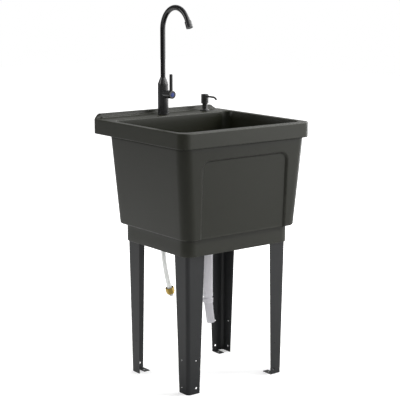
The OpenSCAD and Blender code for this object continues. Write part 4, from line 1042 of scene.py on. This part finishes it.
# Painted shade inside the nut's cup.
nut_skin["shade"] = ((nut_radius < 13.4) & (nut_height < 2)) * 1.0
swivel_nut = make_piece("hose_swivel_nut_brass", [nut_skin], stands_for=["hose_swivel_nut"],
                        finish=BRASS, sharp=24)
tail_skin = turned((0, 0), (8.2, 0, 0.4), (8.2, 5.8, 0.2), (10.0, 6, 0.3), (10.0, 10, 0.3), (0, 10),
                   at=HOSE_END, way=HOSE_WAY, around=48)
# Painted shade on the tail, where it stands inside the nut.
tail_skin["shade"] = (tail_skin["outline"][:, 1:] < 5.9) * 1.0
tail = make_piece("hose_tail_crimped", [tail_skin], stands_for=["hose_tail"], finish=STEEL)
cone = make_piece(
    "hose_cone_white",
    [turned((4.25, 10), (8.5, 10, 0.3), (8.5, 23, 0.8), (7.3, 29.6, 0.8), (4.25, 30, 0.5),
            at=HOSE_END, way=HOSE_WAY, around=48, closed=True)],
    stands_for=["hose_cone_seal"], finish=CONE_PAINTED_SHADE)

# %% [markdown]
# ## The soap pump
#
# The pump stands at the right of the tap. Its flange lies on the deck, a neck stands on it, and the head
# slides down over the neck when it is pressed. The nozzle is a thin tube that points forward and bends
# down. Below the deck hang a nut and the bottle.

# %% Flange and head
PUMP_AT = (176.0, TAP_Y, 0.0)
make_piece(
    "pump_flange_gloss",
    [turned((7.8, 830), (11, 830, 0.5), (11, 864), (16, 864, 0.3), (16, 868.2, 1.2), (12.5, 869.5, 0.8),
            (9.9, 869.6, 0.6), (9, 871.2, 0.8), (9, 890.5, 0.6), (7.8, 890.5), at=PUMP_AT, closed=True)],
    stands_for=["pump_flange"], finish=PUMP)
make_piece(
    "pump_head_gloss",
    [turned((9.6, 889.5), (13.5, 889.5, 0.7), *groove(13.5, 0.3, start=893.2, slope=0.4, floor=0.6),
            (13.5, 923.2, 2.6), (0, 923.6), (0, 911.5), (9.6, 911.5, 0.4), at=PUMP_AT, closed=True)],
    body="pump_top", stands_for=["pump_head"], finish=PUMP)

# %% Nozzle
NOZZLE_OUTER, NOZZLE_INNER = 3.5, 1.75
NOZZLE_Z, NOZZLE_LONG, NOZZLE_BEND, NOZZLE_DIP = 915.5, 66.0, 26.0, 45.0


def hollow(line, outer, inner, binormal, around=28):
    """Tube with a wall: out along the line at the outer radius, round the rim at the end, and back along
    the line at the inner radius."""
    middle, half = (outer + inner) / 2, (outer - inner) / 2
    out, back = (swept(line, radius, binormal, around, capped=False)["points"] for radius in (outer, inner))
    way = line[-1] - line[-2]
    way = way / np.linalg.norm(way)
    a = np.radians([60, 30, 0, -30, -60])[:, None, None]
    spoke = (out[-1] - line[-1]) / outer
    rim = line[-1] + spoke * (middle + half * np.sin(a)) + way * (half * np.cos(a) - half)
    out[-1] -= way * half
    back[-1] -= way * half
    return {"points": np.concatenate([out, rim, back[::-1]]), "close_rows": True}


dip = np.radians(np.linspace(0, NOZZLE_DIP, 20))
level_end = NOZZLE_LONG - NOZZLE_BEND * math.sin(dip[-1])
nozzle_line = np.concatenate([
    in_plane(PUMP_AT[0], TAP_Y - np.linspace(5, level_end, 14)[:-1], NOZZLE_Z),
    in_plane(PUMP_AT[0], TAP_Y - level_end - NOZZLE_BEND * np.sin(dip),
             NOZZLE_Z - NOZZLE_BEND + NOZZLE_BEND * np.cos(dip))])
make_piece("pump_nozzle_gloss", [hollow(nozzle_line, NOZZLE_OUTER, NOZZLE_INNER, (1, 0, 0))],
           body="pump_top", stands_for=["pump_nozzle"], finish=PUMP)


# %% Nut and bottle under the deck
def pump_nut_ribs(angle, height):
    """24 shallow ribs on the nut's side, and a chamfer's worth less at both ends."""
    ribs = 1 - 0.02 * (0.5 + 0.5 * np.cos(24 * angle))
    return np.where((height > 849.3) & (height < 855.7), ribs, 0.98)


make_piece(
    "pump_nut_ribbed",
    [turned((11.1, 849), (19, 849, 0.5), (19, 856, 0.5), (11.1, 856),
            at=PUMP_AT, around=144, closed=True, swell=pump_nut_ribs)],
    stands_for=["pump_nut"], finish=PUMP)
make_piece(
    "soap_bottle_blown",
    [turned((0, 697.8), (16, 697.8, 1), (19, 696, 2.0), (24, 696, 5.0), (24, 818, 3.5), (13.4, 830, 1.2),
            (13.4, 842.8, 0.4), (11.05, 842.8), (11.05, 829), (10, 827), (22.5, 816), (22.5, 698.6, 3.0),
            (0, 698.6), at=PUMP_AT, around=72)],
    stands_for=["soap_bottle"], finish=BOTTLE)

# %% [markdown]
# ## The drain
#
# A steel strainer sits in the floor of the bowl. Under it a pale plastic tube goes down, flares a little
# at its end, and meets a short lower tube in a slip joint: a ribbed nut that squeezes a washer. The lower
# tube leans a little to the right. It ends open, because the rest of the plumbing is in the house.

# %% Strainer and upper tube
DRAIN_AT = (*DRAIN, 0.0)
threads = [(23 - 0.5 * (k % 2), 486.0 + k, 0.2) for k in range(30)]
make_piece(
    "strainer_flange_steel",
    [turned((15, 485), (22.4, 485, 0.4), *threads, (23, 529), (40, 529, 0.2), (40, 530.6, 0.8),
            (34, 532, 1.5), (21, 531.6, 0.8), (20, 530.4, 0.6), (20, 520, 0.4), (15, 520, 0.4),
            at=DRAIN_AT, closed=True, steps=4)],
    stands_for=["strainer_flange"], finish=STRAINER)
make_piece(
    "drain_tube_upper",
    [turned((11.9, 259), (13.5, 259, 0.3), (13.5, 268), (16.5, 268, 0.9), (16.5, 281, 1.0),
            (15.9, 282.6, 0.5), (15.9, 479.4, 0.8), (23, 480, 0.4), (23, 483, 0.4), (14.3, 483), (14.3, 282),
            (11.9, 281), at=DRAIN_AT, around=72, closed=True)],
    stands_for=["drain_tailpiece"], finish=PIPE)

# %% Slip nut and lower tube
LOWER_AT = (*DRAIN, 254.5)
LOWER_LEAN = math.radians(8.5)
LOWER_WAY = (math.sin(LOWER_LEAN), 0.0, -math.cos(LOWER_LEAN))


def slip_nut_ribs(angle, height):
    """20 flat-topped ribs between the nut's two smooth bands."""
    ribs = 0.985 + 0.015 * np.clip(1.6 * np.cos(20 * angle), -1, 1)
    return np.where((height > 249.5) & (height < 259.5), ribs, 1)


make_piece(
    "slip_nut_ribbed",
    [turned((16.4, 247), (17.4, 247, 0.4), (17.4, 249.4, 0.3), (17.3, 249.6), (17.3, 259.4),
            (17.4, 259.6, 0.3), (17.4, 262, 0.7), (13.6, 262, 0.3), (13.6, 259), (16.4, 259),
            at=DRAIN_AT, around=160, closed=True, swell=slip_nut_ribs)],
    stands_for=["slip_nut"], finish=PIPE)
make_piece(
    "drain_tube_lower",
    [turned((13.0, 0), (14.6, 0, 0.2), (14.6, 28.9, 0.3), (13.9, 29.5, 0.3), (13.9, 79.5, 0.6),
            (13.0, 79.5, 0.2), at=LOWER_AT, way=LOWER_WAY, around=72, closed=True),
     turned((13.4, 247), (16.0, 247, 0.3), (16.0, 256.8, 0.3), (13.4, 256.8),
            at=DRAIN_AT, around=72, closed=True)],
    stands_for=["lower_drain_tube"], finish=PIPE_PAINTED_SHADE)

# %% [markdown]
# ## Finishes on the solid model's own parts
#
# The legs and the small fastenings already have their right shape in the solid model: folded sheet,
# washers, nuts, screws. They stay as they are, and only get their finish.

# %% Finish of the carried-over parts
carried = {
    LEG: ["leg_front_left", "leg_front_right", "leg_back_left", "leg_back_right"],
    RUBBER: ["tap_base_seal", "spout_o_rings", "aerator_washer", "shank_rubber_washer", "hose_top_washer",
             "strainer_gasket", "basket_seal", "tailpiece_washer", "slip_washer"],
    BRASS: ["spout_stub", "valve_cartridge", "cartridge_nut", "valve_spindle", "tap_shank", "shank_nut"],
    STEEL: ["spout_lock_screw", "aerator_insert", "hub_grub_screw", "shank_steel_washer", "hose_top_nut",
            "pump_spring"],
    STRAINER: ["strainer_basket"],
    NUT_WHITE: ["strainer_nut", "tailpiece_nut"],
    PUMP_WHITE: ["pump_cylinder", "pump_stem", "pump_dip_tube"],
}
finished = {name for names in carried.values() for name in names}
for finish, names in carried.items():
    for name in names:
        for material_slot in frame["nodes"][name].material_slots:
            material_slot.material = finish
replaced = {node for piece in bpy.data.objects for node in piece.get("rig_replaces", [])}
print("left without a finish:", sorted(set(frame["nodes"]) - finished - replaced))

# %% [markdown]
# ## Floor and surroundings
#
# The picture has a white ground all round. The floor is a large plain sheet. To the camera it shines by
# itself, weakly near the sink, so that the shadow under the sink still shows, and fully far away, so that
# it meets the white world without a line. Reflections see it darker, with a glow at the left behind the
# sink and at the right in front of it. The world is white to the camera and through anything clear.
# Reflections see it bright behind the sink and at the right in front, where the deck and the near faces
# look, and as light it is a soft even grey that fills what the lamps leave dark.

# %% Floor
BLACK, WHITE = (0.0, 0.0, 0.0), (1.0, 1.0, 1.0)
BACK_LEFT, FRONT_RIGHT = (-0.604, 0.797, 0.0), (0.604, -0.797, 0.0)
FLOOR_CORNERS = [[-9, -9, 0], [9, -9, 0], [9, 12, 0], [-9, 12, 0]]


def floor_finish():
    """Pale paint that is darker in reflections. What it emits is (1) to the camera, a grey that rises to
    white with the distance, and (2) to reflections, the two glows, of which the left fades far away."""
    f = Finish("studio_floor", Roughness=0.9, Specular_IOR_Level=0.0, Emission_Strength=1.0)
    seen, mirrored = f.ray("Camera"), f.ray("Glossy")
    away = f.node("ShaderNodeVectorMath", {"operation": "NORMALIZE"}, {0: f.place})
    distance = f.node("ShaderNodeVectorMath", {"operation": "LENGTH"}, {0: f.place}, "Value")
    left = 0.5 * f.facing(away, BACK_LEFT, power=4.0) * (1 - 0.4 * distance.above(2.5, 4.6))
    right = 0.20 * f.facing(away, FRONT_RIGHT, power=4.0)
    paint_tone = f.mix(f.noise(3.0, 2.0, 0.5), (0.78, 0.78, 0.78), (0.80, 0.80, 0.80))
    to_camera = f.mix(distance.above(0.5, 3.0), (0.38, 0.38, 0.38), WHITE)
    return f.set(Base_Color=f.mix(mirrored, paint_tone, (0.30, 0.30, 0.30)),
                 Emission_Color=f.mix(seen, f.mix(mirrored * (left + right), BLACK, WHITE), to_camera))


floor_mesh = bpy.data.meshes.new("studio_floor")
floor_mesh.from_pydata(np.array(FLOOR_CORNERS, float), [], [(0, 1, 2, 3)])
floor_mesh.materials.append(floor_finish())
studio_floor = new_object("studio_floor", floor_mesh)

# %% World
SOFT_LIGHT = 0.5
BEHIND, HIGH_IN_FRONT = (0.797, 0.604, 0.0), (0.52, -0.69, 0.5)


def studio_surroundings():
    """White to the camera; for reflections, two bright places; one soft grey for all other light."""
    world = bpy.data.worlds.new("studio")
    bpy.context.scene.world = world
    world.use_nodes = True
    bench = Workbench(world.node_tree)
    way = bench.node("ShaderNodeTexCoord", output="Generated")
    bright = bench.facing(way, BEHIND, power=4.0) * 0.62 + bench.facing(way, HIGH_IN_FRONT, power=9.0) * 3.5
    mirrored = bench.ray("Glossy")
    clear = bench.ray("Camera").larger(bench.ray("Transmission"))
    background = world.node_tree.nodes["Background"]
    bench.feed(background.inputs["Color"], WHITE)
    bench.feed(background.inputs["Strength"],
               clear.larger(mirrored * bright + (1 - mirrored) * SOFT_LIGHT))


studio_surroundings()
